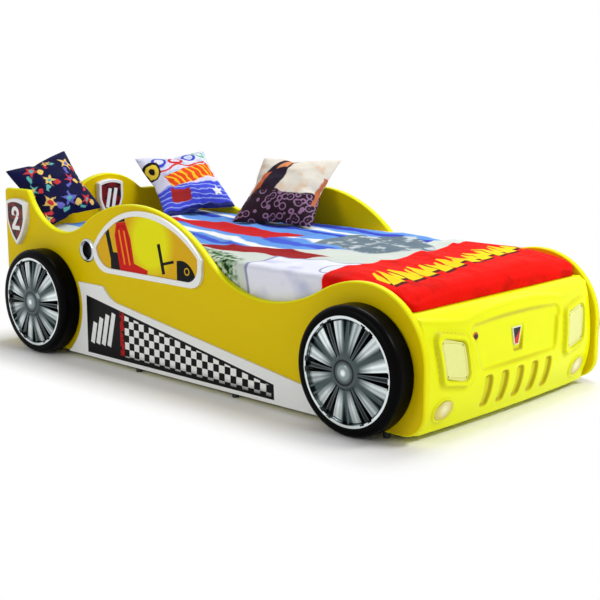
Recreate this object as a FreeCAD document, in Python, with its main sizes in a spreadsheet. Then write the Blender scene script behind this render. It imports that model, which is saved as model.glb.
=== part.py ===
"""Children's car bed: two shaped side panels, a thermoformed front bumper with working lamps,
dummy wheels, a slatted base, a mattress, a quilt and three cushions.

Millimetres. X runs from the head end to the nose, Y to the bed's left, Z up. The origin is on the
floor below the middle of the bed, and the tyres and glides stand on the floor.
"""
import FreeCAD, Part

import math
import os
import re
import sys

import Sketcher

Vector = FreeCAD.Vector
Rotation = FreeCAD.Rotation
doc = FreeCAD.newDocument("CarBed")

# ---------------------------------------------------------------- driving dimensions
DRIVING = {
    # whole bed
    "bed_length": 2050, "bed_width": 960, "panel_thickness": 25, "floor_gap": 18,
    "fit_gap": 0.3, "board_round": 6,
    # side panel outline, from the head end to the nose
    "post_height": 600, "scoop_place": 364, "scoop_height": 460, "scoop_share": 0.312,
    "hump_place": 785, "hump_height": 592, "dip_place": 635, "dip_height": 341,
    "dip_rear_share": 0.41, "dip_front_share": 0.59, "arch_height": 449,
    "nose_reach": 230, "nose_corner": 80, "rear_corner": 60, "post_corner": 18,
    # wheels
    "rear_wheel_place": 267, "tyre_radius": 195, "tyre_width": 76, "tyre_shoulder": 20,
    "cap_radius": 165, "cap_web": 6, "rim_lip": 9, "dish_wall": 4, "hub_radius": 54,
    "hub_cap_radius": 24, "spoke_sets": 6, "hub_rise": 10, "dish_drop": 12,
    "dish_radius": 700, "hub_dome_radius": 74,
    # head and foot boards
    "shoulder_height": 555, "dome_height": 627, "dome_radius": 250, "shoulder_round": 45,
    "footboard_setback": 93, "footboard_thickness": 16, "bumper_top": 372,
    # slatted base
    "slat_top": 299, "slat_thickness": 12, "slat_width": 68, "slat_count": 14,
    "rail_height": 45, "rail_width": 25, "beam_height": 60, "beam_width": 40,
    "strap_width": 30, "strap_thickness": 1.2, "strap_place": 290, "leg_width": 45,
    # bumper moulding
    "bumper_wall": 4, "bumper_bow": 21, "bumper_setback": 30, "ledge_setback": 69,
    "chin_tuck": 17, "chin_level": 110, "face_lean": 11, "brow_level": 305,
    "brow_radius": 85, "front_radius": 704, "chin_bow": 0.64, "bumper_low": 20, "bead": 5,
    "lens_seat": 1, "lens_thickness": 3,
    "recess_depth": 17, "recess_fade": 5, "recess_half": 240, "recess_foot": 205,
    "recess_low": 168, "recess_side": 309, "recess_round": 24, "arch_radius": 1450,
    "slot_depth": 8, "slot_width": 42, "slot_pitch": 82, "slot_foot": 66, "slot_height": 86,
    "slot_round": 7, "badge_width": 84, "badge_foot": 44, "badge_height": 80,
    "badge_level": 205, "badge_depth": 11, "badge_thickness": 5, "badge_round": 5,
    "lamp_foot_inner": 210, "lamp_foot_level": 133, "lamp_foot_outer": 64,
    "lamp_side_level": 160, "lamp_top_outer": 39, "lamp_top_level": 323,
    "lamp_top_inner": 190, "lamp_inner_level": 293, "lamp_round": 30, "lamp_reach": 75,
    "frame_band": 20, "lens_ledge": 12, "fog_width": 76, "fog_height": 60,
    "fog_place": 88, "fog_level": 84, "module_depth": 12, "module_width": 90,
    "module_height": 60,
    "button_place": 215, "button_level": 279, "button_radius": 8, "button_proud": 5,
    "button_stem": 18, "bezel_wall": 2, "bezel_barrel": 12, "spot_depth": 9.8,
    # trims on the side panels
    "sill_thickness": 8, "sill_wheel_gap": 23, "sill_high": 287, "sill_step": 236,
    "sill_low": 96, "window_low": 340, "window_high": 574, "window_rear": 563,
    "window_front": 1140, "window_crown": 835, "window_band": 18, "window_thickness": 12,
    "window_nose_round": 55, "window_tail_round": 80, "window_nose_level": 440,
    "window_tail_level": 425, "sill_step_place": 416, "sill_bend": 130,
    "board_thickness": 6, "shield_width": 125, "shield_height": 178, "shield_thickness": 22,
    "shield_side_radius": 190, "shield_top_radius": 150, "shield_round": 3,
    "shield_head_level": 515,
    "shield_from_rear": 98, "shield_level": 477, "filler_from_rear": 517, "filler_level": 407,
    "filler_ring_radius": 44, "filler_radius": 33, "filler_depth": 20,
    # bedding
    "mattress_head_gap": 30, "mattress_side_gap": 5, "mattress_top": 430, "quilt_thickness": 14,
    "quilt_side": 3, "quilt_hem": 330, "quilt_head_gap": 45, "quilt_round": 14,
    "mattress_foot_gap": 2, "mattress_round": 12,
    "cushion_navy_side": 280, "cushion_navy_thickness": 92, "cushion_blue_side": 331,
    "cushion_blue_thickness": 110, "cushion_brown_side": 350, "cushion_brown_thickness": 115,
    "cushion_navy_rise": 141.1, "cushion_navy_slope": 0.782, "cushion_navy_back": 37.17,
    # fixings
    "glide_radius": 11, "bracket_leg": 40, "bracket_height": 60, "bracket_thickness": 2.5,
    "bracket_low": 90, "bracket_high": 170,
}
DERIVED = {
    "half_length": "bed_length / 2", "half_width": "bed_width / 2",
    "inner_half": "half_width - panel_thickness",
    "head_x": "panel_thickness - half_length",
    "foot_x": "half_length - footboard_setback",
    "well_length": "foot_x - head_x",
    "front_x": "half_length - nose_reach", "rear_x": "rear_wheel_place - half_length",
    # panel crests and valleys, each pair joined by two arcs that share a tangent
    "scoop_x": "scoop_place - half_length", "hump_x": "hump_place - half_length",
    "dip_x": "half_length - dip_place",
    "scoop_sum": "((hump_x - scoop_x)^2 + (hump_height - scoop_height)^2)"
                 " / (2 * (hump_height - scoop_height))",
    "dip_sum": "((dip_x - hump_x)^2 + (hump_height - dip_height)^2)"
               " / (2 * (hump_height - dip_height))",
    "arch_sum": "((front_x - dip_x)^2 + (arch_height - dip_height)^2)"
                " / (2 * (arch_height - dip_height))",
    "scoop_radius": "scoop_sum * scoop_share",
    "post_x": "scoop_x - sqrt(scoop_radius^2 - (scoop_radius - post_height + scoop_height)^2)",
    "rail_top": "slat_top - slat_thickness",
    "beam_base": "rail_top - beam_height",
    "mattress_base": "slat_top + strap_thickness + fit_gap",
    "quilt_top": "mattress_top + fit_gap + quilt_thickness",
    "nose_x": "half_length", "brow_x": "half_length - bumper_setback + bumper_bow",
    "sill_reach": "tyre_radius + sill_wheel_gap",
}

sheet = doc.addObject("Spreadsheet::Sheet", "Size")
for row, (alias, value) in enumerate(list(DRIVING.items()) + list(DERIVED.items()), start=1):
    cell = "B%d" % row
    sheet.set("A%d" % row, alias)
    sheet.set(cell, str(value) if alias in DRIVING else "=" + value)
    sheet.setAlias(cell, alias)
doc.recompute()

ALIASES = set(DRIVING) | set(DERIVED)
NODES = []


def bound(text):
    """Point each alias in an expression at the size sheet."""
    return re.sub(r"[a-z_]+", lambda word: ("Size." if word.group() in ALIASES else "")
                  + word.group(), str(text))


def number(text):
    """Value of an expression of aliases, in millimetres."""
    return float(sheet.evalExpression(bound(text)))


def place(item, x="0", y="0", z="0", rotation=None):
    """Set an object's place from the sheet, and its turn if it has one."""
    item.Placement = FreeCAD.Placement(Vector(number(x), number(y), number(z)),
                                       rotation or Rotation())
    for axis, text in (("x", x), ("y", y), ("z", z)):
        item.setExpression("Placement.Base." + axis, bound(text))
    return item


def node(item, label):
    """Give a sub-part its label, which names its file, and keep it for export."""
    item.Label = label
    NODES.append(item)
    return item


# ---------------------------------------------------------------- sketches and features
def new_body(name):
    return doc.addObject("PartDesign::Body", name)


def plane_of(body, role):
    return [item for item in body.Origin.OriginFeatures if item.Role == role][0]


def arc_centre(start, end, radius):
    """Centre of the arc from start to end; a positive radius bows to the right of the way."""
    chord = end - start
    reach = math.sqrt(max(radius * radius - chord.Length ** 2 / 4, 0.0))
    left = Vector(-chord.y, chord.x, 0).normalize()
    return (start + end) * 0.5 + left * math.copysign(reach, radius)


def outline(body, name, role, corners, offset="0"):
    """Closed sketch. Each corner is (across, up, radius): the radius belongs to the edge that
    leaves the corner, 0 for a straight edge, positive to bulge out, negative to curve in."""
    sketch = body.newObject("Sketcher::SketchObject", name)
    sketch.AttachmentSupport = [(plane_of(body, role), "")]
    sketch.MapMode = "FlatFace"
    sketch.AttachmentOffset = FreeCAD.Placement(Vector(0, 0, number(offset)), Rotation())
    sketch.setExpression("AttachmentOffset.Base.z", bound(offset))
    points = [Vector(number(x), number(z), 0) for x, z, radius in corners]
    ends = []
    for index, (x, z, radius) in enumerate(corners):
        start = points[index]
        end = points[(index + 1) % len(points)]
        if radius == 0:
            edge = sketch.addGeometry(Part.LineSegment(start, end), False)
            ends.append((edge, 1, 2))
            continue
        size = number(radius)
        centre = arc_centre(start, end, size)
        first, last = (start, end) if size > 0 else (end, start)
        low = math.atan2(first.y - centre.y, first.x - centre.x)
        high = math.atan2(last.y - centre.y, last.x - centre.x)
        if high < low:
            high += 2 * math.pi
        circle = Part.Circle(centre, Vector(0, 0, 1), abs(size))
        edge = sketch.addGeometry(Part.ArcOfCircle(circle, low, high), False)
        ends.append((edge, 1, 2) if size > 0 else (edge, 2, 1))
    rules = []
    for index, (edge, start, end) in enumerate(ends):
        following = ends[(index + 1) % len(ends)]
        rules.append(Sketcher.Constraint("Coincident", edge, end, following[0], following[1]))
    sketch.addConstraint(rules)
    for index, (x, z, radius) in enumerate(corners):
        edge, start, end = ends[index]
        drive(sketch, "DistanceX", edge, start, points[index].x, "x%d" % index, x)
        drive(sketch, "DistanceY", edge, start, points[index].y, "z%d" % index, z)
        if radius != 0:
            size = sketch.addConstraint(Sketcher.Constraint("Radius", edge,
                                                            abs(number(radius))))
            sketch.renameConstraint(size, "bend%d" % index)
            sketch.setExpression("Constraints.bend%d" % index, bound("abs(%s)" % radius))
    return sketch


def drive(sketch, kind, edge, end, value, name, text):
    """Tie one coordinate of an edge's end to the sheet."""
    rule = sketch.addConstraint(Sketcher.Constraint(kind, -1, 1, edge, end, value))
    sketch.renameConstraint(rule, name)
    sketch.setExpression("Constraints." + name, bound(text))


def circles(body, name, role, rounds, offset="0"):
    """Sketch of full circles, each (across, up, radius)."""
    sketch = body.newObject("Sketcher::SketchObject", name)
    sketch.AttachmentSupport = [(plane_of(body, role), "")]
    sketch.MapMode = "FlatFace"
    sketch.AttachmentOffset = FreeCAD.Placement(Vector(0, 0, number(offset)), Rotation())
    sketch.setExpression("AttachmentOffset.Base.z", bound(offset))
    for index, (x, z, radius) in enumerate(rounds):
        centre = Vector(number(x), number(z), 0)
        edge = sketch.addGeometry(Part.Circle(centre, Vector(0, 0, 1), number(radius)), False)
        drive(sketch, "DistanceX", edge, 3, centre.x, "x%d" % index, x)
        drive(sketch, "DistanceY", edge, 3, centre.y, "z%d" % index, z)
        size = sketch.addConstraint(Sketcher.Constraint("Radius", edge, number(radius)))
        sketch.renameConstraint(size, "size%d" % index)
        sketch.setExpression("Constraints.size%d" % index, bound(radius))
    return sketch


def feature(body, kind, profile, length=None, **options):
    """Pad or pocket of a sketch, with its length tied to the sheet."""
    item = body.newObject("PartDesign::" + kind, body.Name + "_" + profile.Name + "_" + kind)
    item.Profile = profile
    for name, value in options.items():
        setattr(item, name, value)
    if length is not None:
        item.Length = number(length)
        item.setExpression("Length", bound(length))
    doc.recompute()
    return item


def revolve(body, sketch):
    """Turn a half outline of (out, along) corners about the sketch's upright axis."""
    item = body.newObject("PartDesign::Revolution", body.Name + "_turned")
    item.Profile = sketch
    item.ReferenceAxis = (sketch, ["V_Axis"])
    item.Angle = 360
    doc.recompute()
    return item


def round_edges(body, base, picked, radius, kind="Fillet"):
    """Fillet, or chamfer, of the picked edges of the last feature."""
    item = body.newObject("PartDesign::" + kind, base.Name + "_round%d" % len(body.Group))
    item.Base = (base, picked)
    size = "Radius" if kind == "Fillet" else "Size"
    setattr(item, size, number(radius))
    item.setExpression(size, bound(radius))
    doc.recompute()
    return item


def edges_at(shape, spots, reach=1.0):
    """Names of the straight edges that pass within reach of the spots."""
    names = []
    for index, edge in enumerate(shape.Edges, start=1):
        for spot in spots:
            if edge.distToShape(Part.Vertex(spot))[0] < reach and len(edge.Vertexes) == 2:
                middle = (edge.Vertexes[0].Point + edge.Vertexes[1].Point) * 0.5
                if (middle - spot).Length < reach:
                    names.append("Edge%d" % index)
    return names


def faces_at(shape, axis, level, reach=0.01):
    """Names of the faces square to an axis ("x", "y" or "z") at a level."""
    names = []
    for index, face in enumerate(shape.Faces, start=1):
        box = face.BoundBox
        low, high = getattr(box, axis.upper() + "Min"), getattr(box, axis.upper() + "Max")
        if abs(low - level) < reach and abs(high - level) < reach:
            names.append("Face%d" % index)
    return names


# ---------------------------------------------------------------- plain solids and booleans
def box(name, length, width, height, x="0", y="0", z="0"):
    """Block whose corner with the lowest coordinates is at (x, y, z)."""
    item = doc.addObject("Part::Box", name)
    for side, text in (("Length", length), ("Width", width), ("Height", height)):
        setattr(item, side, number(text))
        item.setExpression(side, bound(text))
    return place(item, x, y, z)


def cylinder(name, radius, height, x="0", y="0", z="0", rotation=None):
    item = doc.addObject("Part::Cylinder", name)
    for side, text in (("Radius", radius), ("Height", height)):
        setattr(item, side, number(text))
        item.setExpression(side, bound(text))
    return place(item, x, y, z, rotation)


def cut(name, base, tool):
    item = doc.addObject("Part::Cut", name)
    item.Base = base
    item.Tool = tool
    doc.recompute()
    return item


def common(name, base, tool):
    item = doc.addObject("Part::Common", name)
    item.Base = base
    item.Tool = tool
    doc.recompute()
    return item


def fuse(name, pieces):
    item = doc.addObject("Part::MultiFuse", name)
    item.Shapes = pieces
    doc.recompute()
    return item


def group(label, pieces):
    """Identical pieces that share one node as separate solids."""
    item = doc.addObject("Part::Compound", label)
    item.Links = pieces
    return node(item, label)


TO_X = Rotation(Vector(0, 1, 0), 90)
TO_FRONT = Rotation(Vector(1, 0, 0), 90)


# ---------------------------------------------------------------- side panels
def panel_corners():
    """Outline of a side panel, anticlockwise from the foot of the head end."""
    scoop_turn = "scoop_x + (hump_x - scoop_x) * scoop_share"
    scoop_rise = "scoop_height + (hump_height - scoop_height) * scoop_share"
    rear_turn = "dip_x - (dip_x - hump_x) * dip_rear_share"
    rear_rise = "dip_height + (hump_height - dip_height) * dip_rear_share"
    front_turn = "dip_x + (front_x - dip_x) * dip_front_share"
    front_rise = "dip_height + (arch_height - dip_height) * dip_front_share"
    return [
        ("-half_length", "floor_gap", 0),
        ("nose_x - nose_corner", "floor_gap", "nose_corner"),
        ("nose_x", "floor_gap + nose_corner", 0),
        ("nose_x", "arch_height - nose_reach", "nose_reach"),
        ("front_x", "arch_height", "arch_sum * (1 - dip_front_share)"),
        (front_turn, front_rise, "-arch_sum * dip_front_share"),
        ("dip_x", "dip_height", "-dip_sum * dip_rear_share"),
        (rear_turn, rear_rise, "dip_sum * (1 - dip_rear_share)"),
        ("hump_x", "hump_height", "scoop_sum * (1 - scoop_share)"),
        (scoop_turn, scoop_rise, "-scoop_radius"),
        ("scoop_x", "scoop_height", "-scoop_radius"),
        ("post_x", "post_height", 0),
        ("-half_length", "post_height", 0),
    ]


def side_panel(label, outer_y):
    """Board with rounded edges and a blind bore for the filler cap. It is padded towards -Y,
    so the panel's higher Y face stands at outer_y."""
    body = new_body(label)
    sketch = outline(body, label + "_outline", "XZ_Plane", panel_corners())
    base = feature(body, "Pad", sketch, "panel_thickness")
    middle = number("-panel_thickness / 2")
    corner = round_edges(body, base, edges_at(base.Shape, [
        Vector(number("-half_length"), middle, number("floor_gap"))]), "rear_corner")
    posts = edges_at(corner.Shape, [
        Vector(number("-half_length"), middle, number("post_height")),
        Vector(number("post_x"), middle, number("post_height"))])
    post = round_edges(body, corner, posts, "post_corner")
    near = label.endswith("right")
    mouth = circles(body, label + "_bore", "XZ_Plane",
                    [("filler_from_rear - half_length", "filler_level", "filler_radius")],
                    "panel_thickness" if near else "0")
    bored = feature(body, "Pocket", mouth, "filler_depth", Reversed=not near)
    for level in ("-panel_thickness", "0"):
        rims = faces_at(bored.Shape, "y", number(level))
        bore_edges = [index for index, edge in enumerate(bored.Shape.Edges, start=1)
                      if edge.Curve.TypeId == "Part::GeomCircle"
                      and abs(edge.Curve.Radius - number("filler_radius")) < 0.01]
        face = bored.Shape.getElement(rims[0])
        names = []
        for index, edge in enumerate(bored.Shape.Edges, start=1):
            on_face = any(edge.isSame(side) for side in face.Edges)
            if on_face and index not in bore_edges:
                names.append("Edge%d" % index)
        bored = round_edges(body, bored, names, "board_round")
    place(body, "0", outer_y)
    return node(body, label)


# ---------------------------------------------------------------- head and foot boards
def headboard():
    """Board between the panels, with shoulders and a dome in the middle."""
    body = new_body("headboard")
    reach = "sqrt(dome_radius^2 - (shoulder_height - dome_height + dome_radius)^2)"
    gap = "(inner_half - fit_gap)"
    corners = [("-" + gap, "floor_gap", 0), (gap, "floor_gap", 0),
               (gap, "shoulder_height", 0), (reach, "shoulder_height", "dome_radius"),
               ("0", "dome_height", "dome_radius"), ("-" + reach, "shoulder_height", 0),
               ("-" + gap, "shoulder_height", 0)]
    base = feature(body, "Pad", outline(body, "headboard_outline", "YZ_Plane", corners),
                   "panel_thickness")
    middle = number("panel_thickness / 2")
    spots = [Vector(middle, side * number(reach), number("shoulder_height"))
             for side in (-1, 1)]
    soft = round_edges(body, base, edges_at(base.Shape, spots), "shoulder_round")
    round_edges(body, soft, faces_at(soft.Shape, "x", number("panel_thickness")), "board_round")
    place(body, "-half_length")
    return node(body, "headboard")


def footboard():
    """Plain board across the foot end, which carries the bumper."""
    return node(box("footboard", "footboard_thickness", "2 * (inner_half - fit_gap)",
                    "bumper_top - bumper_wall - fit_gap - floor_gap",
                    "foot_x", "fit_gap - inner_half", "floor_gap"), "footboard")


# ---------------------------------------------------------------- slatted base
def slatted_base():
    """Side rails, a centre beam on three legs and end shoes, slats and webbing straps."""
    for label, y in (("side_rail_right", "-inner_half"),
                     ("side_rail_left", "inner_half - rail_width")):
        node(box(label, "well_length - 2 * fit_gap", "rail_width", "rail_height",
                 "head_x + fit_gap", y, "rail_top - rail_height"), label)
    node(box("centre_beam", "well_length - 2 * fit_gap", "beam_width", "beam_height",
             "head_x + fit_gap", "-beam_width / 2", "beam_base"), "centre_beam")
    for share, label in ((-0.3, "beam_leg_rear"), (0, "beam_leg_middle"),
                         (0.3, "beam_leg_front")):
        node(box(label, "leg_width", "leg_width", "beam_base",
                 "well_length * %g - leg_width / 2" % share, "-leg_width / 2", "0"), label)
    shoes = []
    for name, x in (("shoe_rear", "head_x"), ("shoe_front", "foot_x - bracket_leg")):
        shoes.append(box(name, "bracket_leg", "beam_width", "bracket_thickness",
                         x, "-beam_width / 2", "beam_base - bracket_thickness"))
    group("beam_shoes", shoes)
    slats = []
    for index in range(int(number("slat_count"))):
        x = "head_x + well_length * (%d + 0.5) / slat_count - slat_width / 2" % index
        slats.append(box("slat_%02d" % (index + 1), "slat_width", "2 * (inner_half - 2)",
                         "slat_thickness", x, "2 - inner_half", "rail_top"))
    group("slats", slats)
    straps = []
    for name, side in (("strap_right", -1), ("strap_left", 1)):
        straps.append(box(name, "well_length - 20", "strap_width", "strap_thickness",
                          "head_x + 10", "%d * strap_place - strap_width / 2" % side,
                          "slat_top"))
    group("slat_straps", straps)


# ---------------------------------------------------------------- wheels
def turned(label, corners):
    """Body of revolution. Corners are (radius, height off the panel, bend)."""
    body = new_body(label)
    revolve(body, outline(body, label + "_half", "XY_Plane", corners))
    return body


def tyre_corners():
    """Half section of the tyre with its back web: out from the axle, then along it."""
    well = "(cap_radius + fit_gap)"
    return [("0", "0", 0), ("tyre_radius - 8", "0", "8"), ("tyre_radius", "8", 0),
            ("tyre_radius", "tyre_width - tyre_shoulder", "tyre_shoulder"),
            ("tyre_radius - tyre_shoulder", "tyre_width", 0), (well, "tyre_width", 0),
            (well, "cap_web", 0), ("0", "cap_web", 0)]


def cap_corners():
    """Half section of the hub cap: a skirt, a rim lip, and a thin dish that rises to the hub."""
    back = "(cap_web + fit_gap)"
    skirt = "(cap_radius - dish_wall)"
    lip = "(cap_radius - rim_lip)"
    dish = "(tyre_width - dish_drop)"
    crest = "(tyre_width + hub_rise - 4)"
    return [(skirt, back, 0), ("cap_radius", back, 0), ("cap_radius", "tyre_width - 2", 0),
            (lip, "tyre_width - 2", 0), (lip, dish, "dish_radius"),
            ("hub_radius", "tyre_width", 0), ("hub_radius - 8", crest, 0),
            ("hub_cap_radius", crest, "hub_dome_radius"), ("0", "tyre_width + hub_rise", 0),
            ("0", "tyre_width", 0), ("hub_radius - 8", "tyre_width", 0),
            ("hub_radius", "tyre_width - dish_wall", 0), (skirt, dish + " - dish_wall", 0)]


def spoke_corners(angle, inner_half, outer_half):
    """Tapered bar from the hub to the rim lip at an angle, seen along the axle."""
    corners = []
    root, tip = "(hub_radius - 4)", "(cap_radius - rim_lip / 2)"
    for reach, half in ((root, -inner_half), (tip, -outer_half), (tip, outer_half),
                        (root, inner_half)):
        across = "%s * sin(%g) + (%g) * cos(%g)" % (reach, angle, half, angle)
        along = "%s * cos(%g) - (%g) * sin(%g)" % (reach, angle, half, angle)
        corners.append((across, along, 0))
    return corners


def hub_cap(label):
    """Dish with twin ribs, broad spokes and pairs of narrow windows, six times round."""
    body = turned(label, cap_corners())
    details = (("window", "Pocket", "tyre_width + hub_rise", "hub_rise + dish_drop + 16",
                [spoke_corners(angle, 1.6, 8.5) for angle in (24, 36)]),
               ("rib", "Pad", "tyre_width - dish_drop - dish_wall / 2",
                "dish_drop + dish_wall / 2 - 2",
                [spoke_corners(angle, 1.8, 3.2) for angle in (-4.5, 4.5)]))
    for name, kind, level, length, shapes in details:
        parts = []
        for index, corners in enumerate(shapes):
            sketch = outline(body, "%s_%s%d" % (label, name, index), "XZ_Plane",
                             corners, "-(%s)" % level)
            parts.append(feature(body, kind, sketch, length, Reversed=True))
        pattern = body.newObject("PartDesign::PolarPattern", "%s_%ss" % (label, name))
        pattern.Originals = parts
        pattern.Axis = (parts[0].Profile[0], ["N_Axis"])
        pattern.Angle = 360
        pattern.Occurrences = int(number("spoke_sets"))
        body.Tip = pattern
        doc.recompute()
    return body


def wheels():
    """A tyre and a hub cap at each corner, standing out from the panels."""
    for end, x in (("front", "front_x"), ("rear", "rear_x")):
        for side, y, turn in (("right", "-half_width", Rotation(Vector(1, 0, 0), 180)),
                              ("left", "half_width", Rotation())):
            tyre = turned("tyre_%s_%s" % (end, side), tyre_corners())
            cap = hub_cap("hub_cap_%s_%s" % (end, side))
            for body in (tyre, cap):
                place(body, x, y, "tyre_radius", turn)
                node(body, body.Name)


# ---------------------------------------------------------------- bumper moulding
def bumper_block(name, grow):
    """Solid behind the bumper's face, grown outwards by grow. It is lofted through the two
    end sections and the middle one, which stands forward by the bow."""
    body = new_body(name)
    inside = number(grow) < 0
    back = "foot_x - 40" if inside else "foot_x + 1"
    rise = grow if inside else "0"
    sections = []
    for index, (y, bow) in enumerate((("fit_gap - inner_half - (%s)" % grow, "0"),
                                      ("0", "bumper_bow"),
                                      ("inner_half - fit_gap + (%s)" % grow, "0"))):
        low = "bumper_low - (%s)" % rise
        top = "bumper_top + (%s)" % rise
        brow = "nose_x - bumper_setback + %s + (%s)" % (bow, grow)
        chin = "nose_x - bumper_setback - chin_tuck + %s * chin_bow + (%s)" % (bow, grow)
        corners = [(back, low, 0), (chin, low, 0),
                   (brow + " + face_lean", "chin_level", "front_radius"),
                   (brow, "brow_level + (%s) / 2" % grow, "brow_radius"),
                   ("nose_x - ledge_setback + (%s) / 2" % grow, top, 0), (back, top, 0)]
        sections.append(outline(body, "%s_section%d" % (name, index), "XZ_Plane", corners,
                                "-(%s)" % y))
    loft = body.newObject("PartDesign::AdditiveLoft", name + "_loft")
    loft.Profile = sections[0]
    loft.Sections = sections[1:]
    doc.recompute()
    return body


def prism(name, corners, start, length, corner_round=None, role="YZ_Plane"):
    """Straight bar of an outline, from start along X, with its long edges rounded."""
    body = new_body(name)
    base = feature(body, "Pad", outline(body, name + "_outline", role, corners, start), length)
    if corner_round is not None:
        middle = number("%s + (%s) / 2" % (start, length))
        spots = [Vector(middle, number(y), number(z)) for y, z, bend in corners]
        round_edges(body, base, edges_at(base.Shape, spots), corner_round)
    return body


def lamp_corners(side, inset):
    """Outline of a lamp on one side, shrunk by inset all round. Its corners are set in from
    the side panel."""
    corners = []
    for place_in, level, inward, upward in (
            ("lamp_foot_inner", "lamp_foot_level", 1, 1),
            ("lamp_foot_outer", "lamp_side_level", -1, 1),
            ("lamp_top_outer", "lamp_top_level", -1, -1),
            ("lamp_top_inner", "lamp_inner_level", 1, -1)):
        corners.append(("inner_half - %s + %d * (%s)" % (place_in, inward, inset),
                        "%s + %d * (%s)" % (level, upward, inset), 0))
    if side < 0:
        corners = [("-(%s)" % y, z, bend) for y, z, bend in corners][::-1]
    return corners


def fog_bar(name, side, inset):
    """Oval bar along X for a fog lamp, its outline shrunk by inset."""
    oval = doc.addObject("Part::Ellipse", name + "_oval")
    for field, text in (("MajorRadius", "fog_width / 2 - (%s)" % inset),
                        ("MinorRadius", "fog_height / 2 - (%s)" % inset)):
        setattr(oval, field, number(text))
        oval.setExpression(field, bound(text))
    place(oval, "nose_x - lamp_reach", "%d * (inner_half - fog_place)" % side, "fog_level",
          Rotation(Vector(0, 1, 0), Vector(0, 0, 1), Vector(1, 0, 0), "ZXY"))
    bar = doc.addObject("Part::Extrusion", name)
    bar.Base = oval
    bar.DirMode = "Custom"
    bar.Dir = Vector(1, 0, 0)
    bar.LengthFwd = number("lamp_reach + 20")
    bar.setExpression("LengthFwd", bound("lamp_reach + 20"))
    bar.Solid = True
    doc.recompute()
    return bar


def grille_tools(name, grow):
    """Tools of the sunk middle field, its badge seat and the five slots. Grown by the wall,
    they keep the moulding's inside that far behind them."""
    arch = prism(name + "_arch", [
        ("-(recess_foot + (%s))" % grow, "recess_low - (%s)" % grow, 0),
        ("recess_foot + (%s)" % grow, "recess_low - (%s)" % grow, 0),
        ("recess_half + (%s)" % grow, "recess_side + (%s)" % grow, "arch_radius"),
        ("-(recess_half + (%s))" % grow, "recess_side + (%s)" % grow, 0)],
        "brow_x - 40", "80", "recess_round")
    wedge = new_body(name + "_wedge")
    slope = [("brow_x - recess_depth - (%s)" % grow, "recess_side + 40", 0),
             ("brow_x + recess_fade - (%s)" % grow, "recess_low - 10", 0),
             ("brow_x + 40", "recess_low - 10", 0), ("brow_x + 40", "recess_side + 40", 0)]
    feature(wedge, "Pad", outline(wedge, name + "_slope", "XZ_Plane", slope,
                                  "-(recess_half + 20)"), "2 * (recess_half + 20)")
    tools = [common(name + "_field", arch, wedge)]
    tools.append(prism(name + "_badge", [
        ("-(badge_foot / 2 + (%s))" % grow, "badge_level - (%s)" % grow, 0),
        ("badge_foot / 2 + (%s)" % grow, "badge_level - (%s)" % grow, 0),
        ("badge_width / 2 + (%s)" % grow, "badge_level + badge_height + (%s)" % grow, 0),
        ("-(badge_width / 2 + (%s))" % grow, "badge_level + badge_height + (%s)" % grow, 0)],
        "brow_x - badge_depth - (%s)" % grow, "40", "badge_round"))
    slots = []
    for index in range(-2, 3):
        near = "%d * slot_pitch - slot_width / 2 - (%s)" % (index, grow)
        far = "%d * slot_pitch + slot_width / 2 + (%s)" % (index, grow)
        low, high = "slot_foot - (%s)" % grow, "slot_foot + slot_height + (%s)" % grow
        slots.append(prism("%s_slot%d" % (name, index + 3),
                           [(near, low, 0), (far, low, 0), (far, high, 0), (near, high, 0)],
                           "brow_x - 45", "85", "slot_round"))
    floor = bumper_block(name + "_slot_floor", "-(slot_depth + (%s))" % grow)
    tools.append(cut(name + "_slots", fuse(name + "_slot_bars", slots), floor))
    return tools


def bumper():
    """Thin moulding with raised lamp frames, a sunk field with slots, and its lamps."""
    face = bumper_block("bumper_face", "0")
    proud = bumper_block("bumper_proud", "bead")
    seat = bumper_block("bumper_seat", "lens_seat")
    lens_top = bumper_block("lens_top", "lens_seat + lens_thickness")
    inside = bumper_block("bumper_inside", "-bumper_wall")
    start, length = "nose_x - lamp_reach", "lamp_reach + 20"
    pads, pockets, openings = [], [], []
    for label, side in (("right", -1), ("left", 1)):
        frame = prism("frame_bar_" + label, lamp_corners(side, "0"), start, length,
                      "lamp_round")
        pads.append(common("frame_pad_" + label, proud, frame))
        well = prism("lens_well_" + label, lamp_corners(side, "frame_band"), start, length,
                     "lamp_round - 8")
        pockets.append(cut("lens_pocket_" + label, well, seat))
        openings.append(prism("lens_opening_" + label,
                              lamp_corners(side, "frame_band + lens_ledge"), start, length,
                              "lamp_round - 14"))
        openings.append(fog_bar("fog_opening_" + label, side, "lens_ledge / 2"))
        blank = prism("lens_blank_" + label, lamp_corners(side, "frame_band + fit_gap"), start,
                      length, "lamp_round - 8")
        node(cut("headlight_lens_" + label,
                 common("lens_sheet_" + label, blank, lens_top), seat),
             "headlight_lens_" + label)
        node(cut("fog_lens_" + label,
                 common("fog_sheet_" + label, fog_bar("fog_blank_" + label, side, "0"),
                        lens_top), face), "fog_lens_" + label)
    outer = cut("bumper_relief", fuse("bumper_raised", [face] + pads),
                fuse("bumper_pockets", pockets + grille_tools("grille", "0")))
    core = cut("bumper_core", inside, fuse("core_relief", grille_tools("core", "bumper_wall")))
    shell = cut("bumper_walls", outer, core)
    spot = cylinder("button_spot", "button_radius + 6", "40", "brow_x - spot_depth",
                    "-button_place", "button_level", TO_X)
    hole = cylinder("button_hole", "button_radius + bezel_wall + fit_gap", "80", "brow_x - 40",
                    "-button_place", "button_level", TO_X)
    behind = box("footboard_room", "footboard_thickness + 1", "2 * half_width",
                 "bumper_top - bumper_wall", "foot_x - 1 + fit_gap", "-half_width", "0")
    node(cut("bumper_shell", shell, fuse("bumper_holes", openings + [spot, hole, behind])),
         "bumper_shell")


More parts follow.
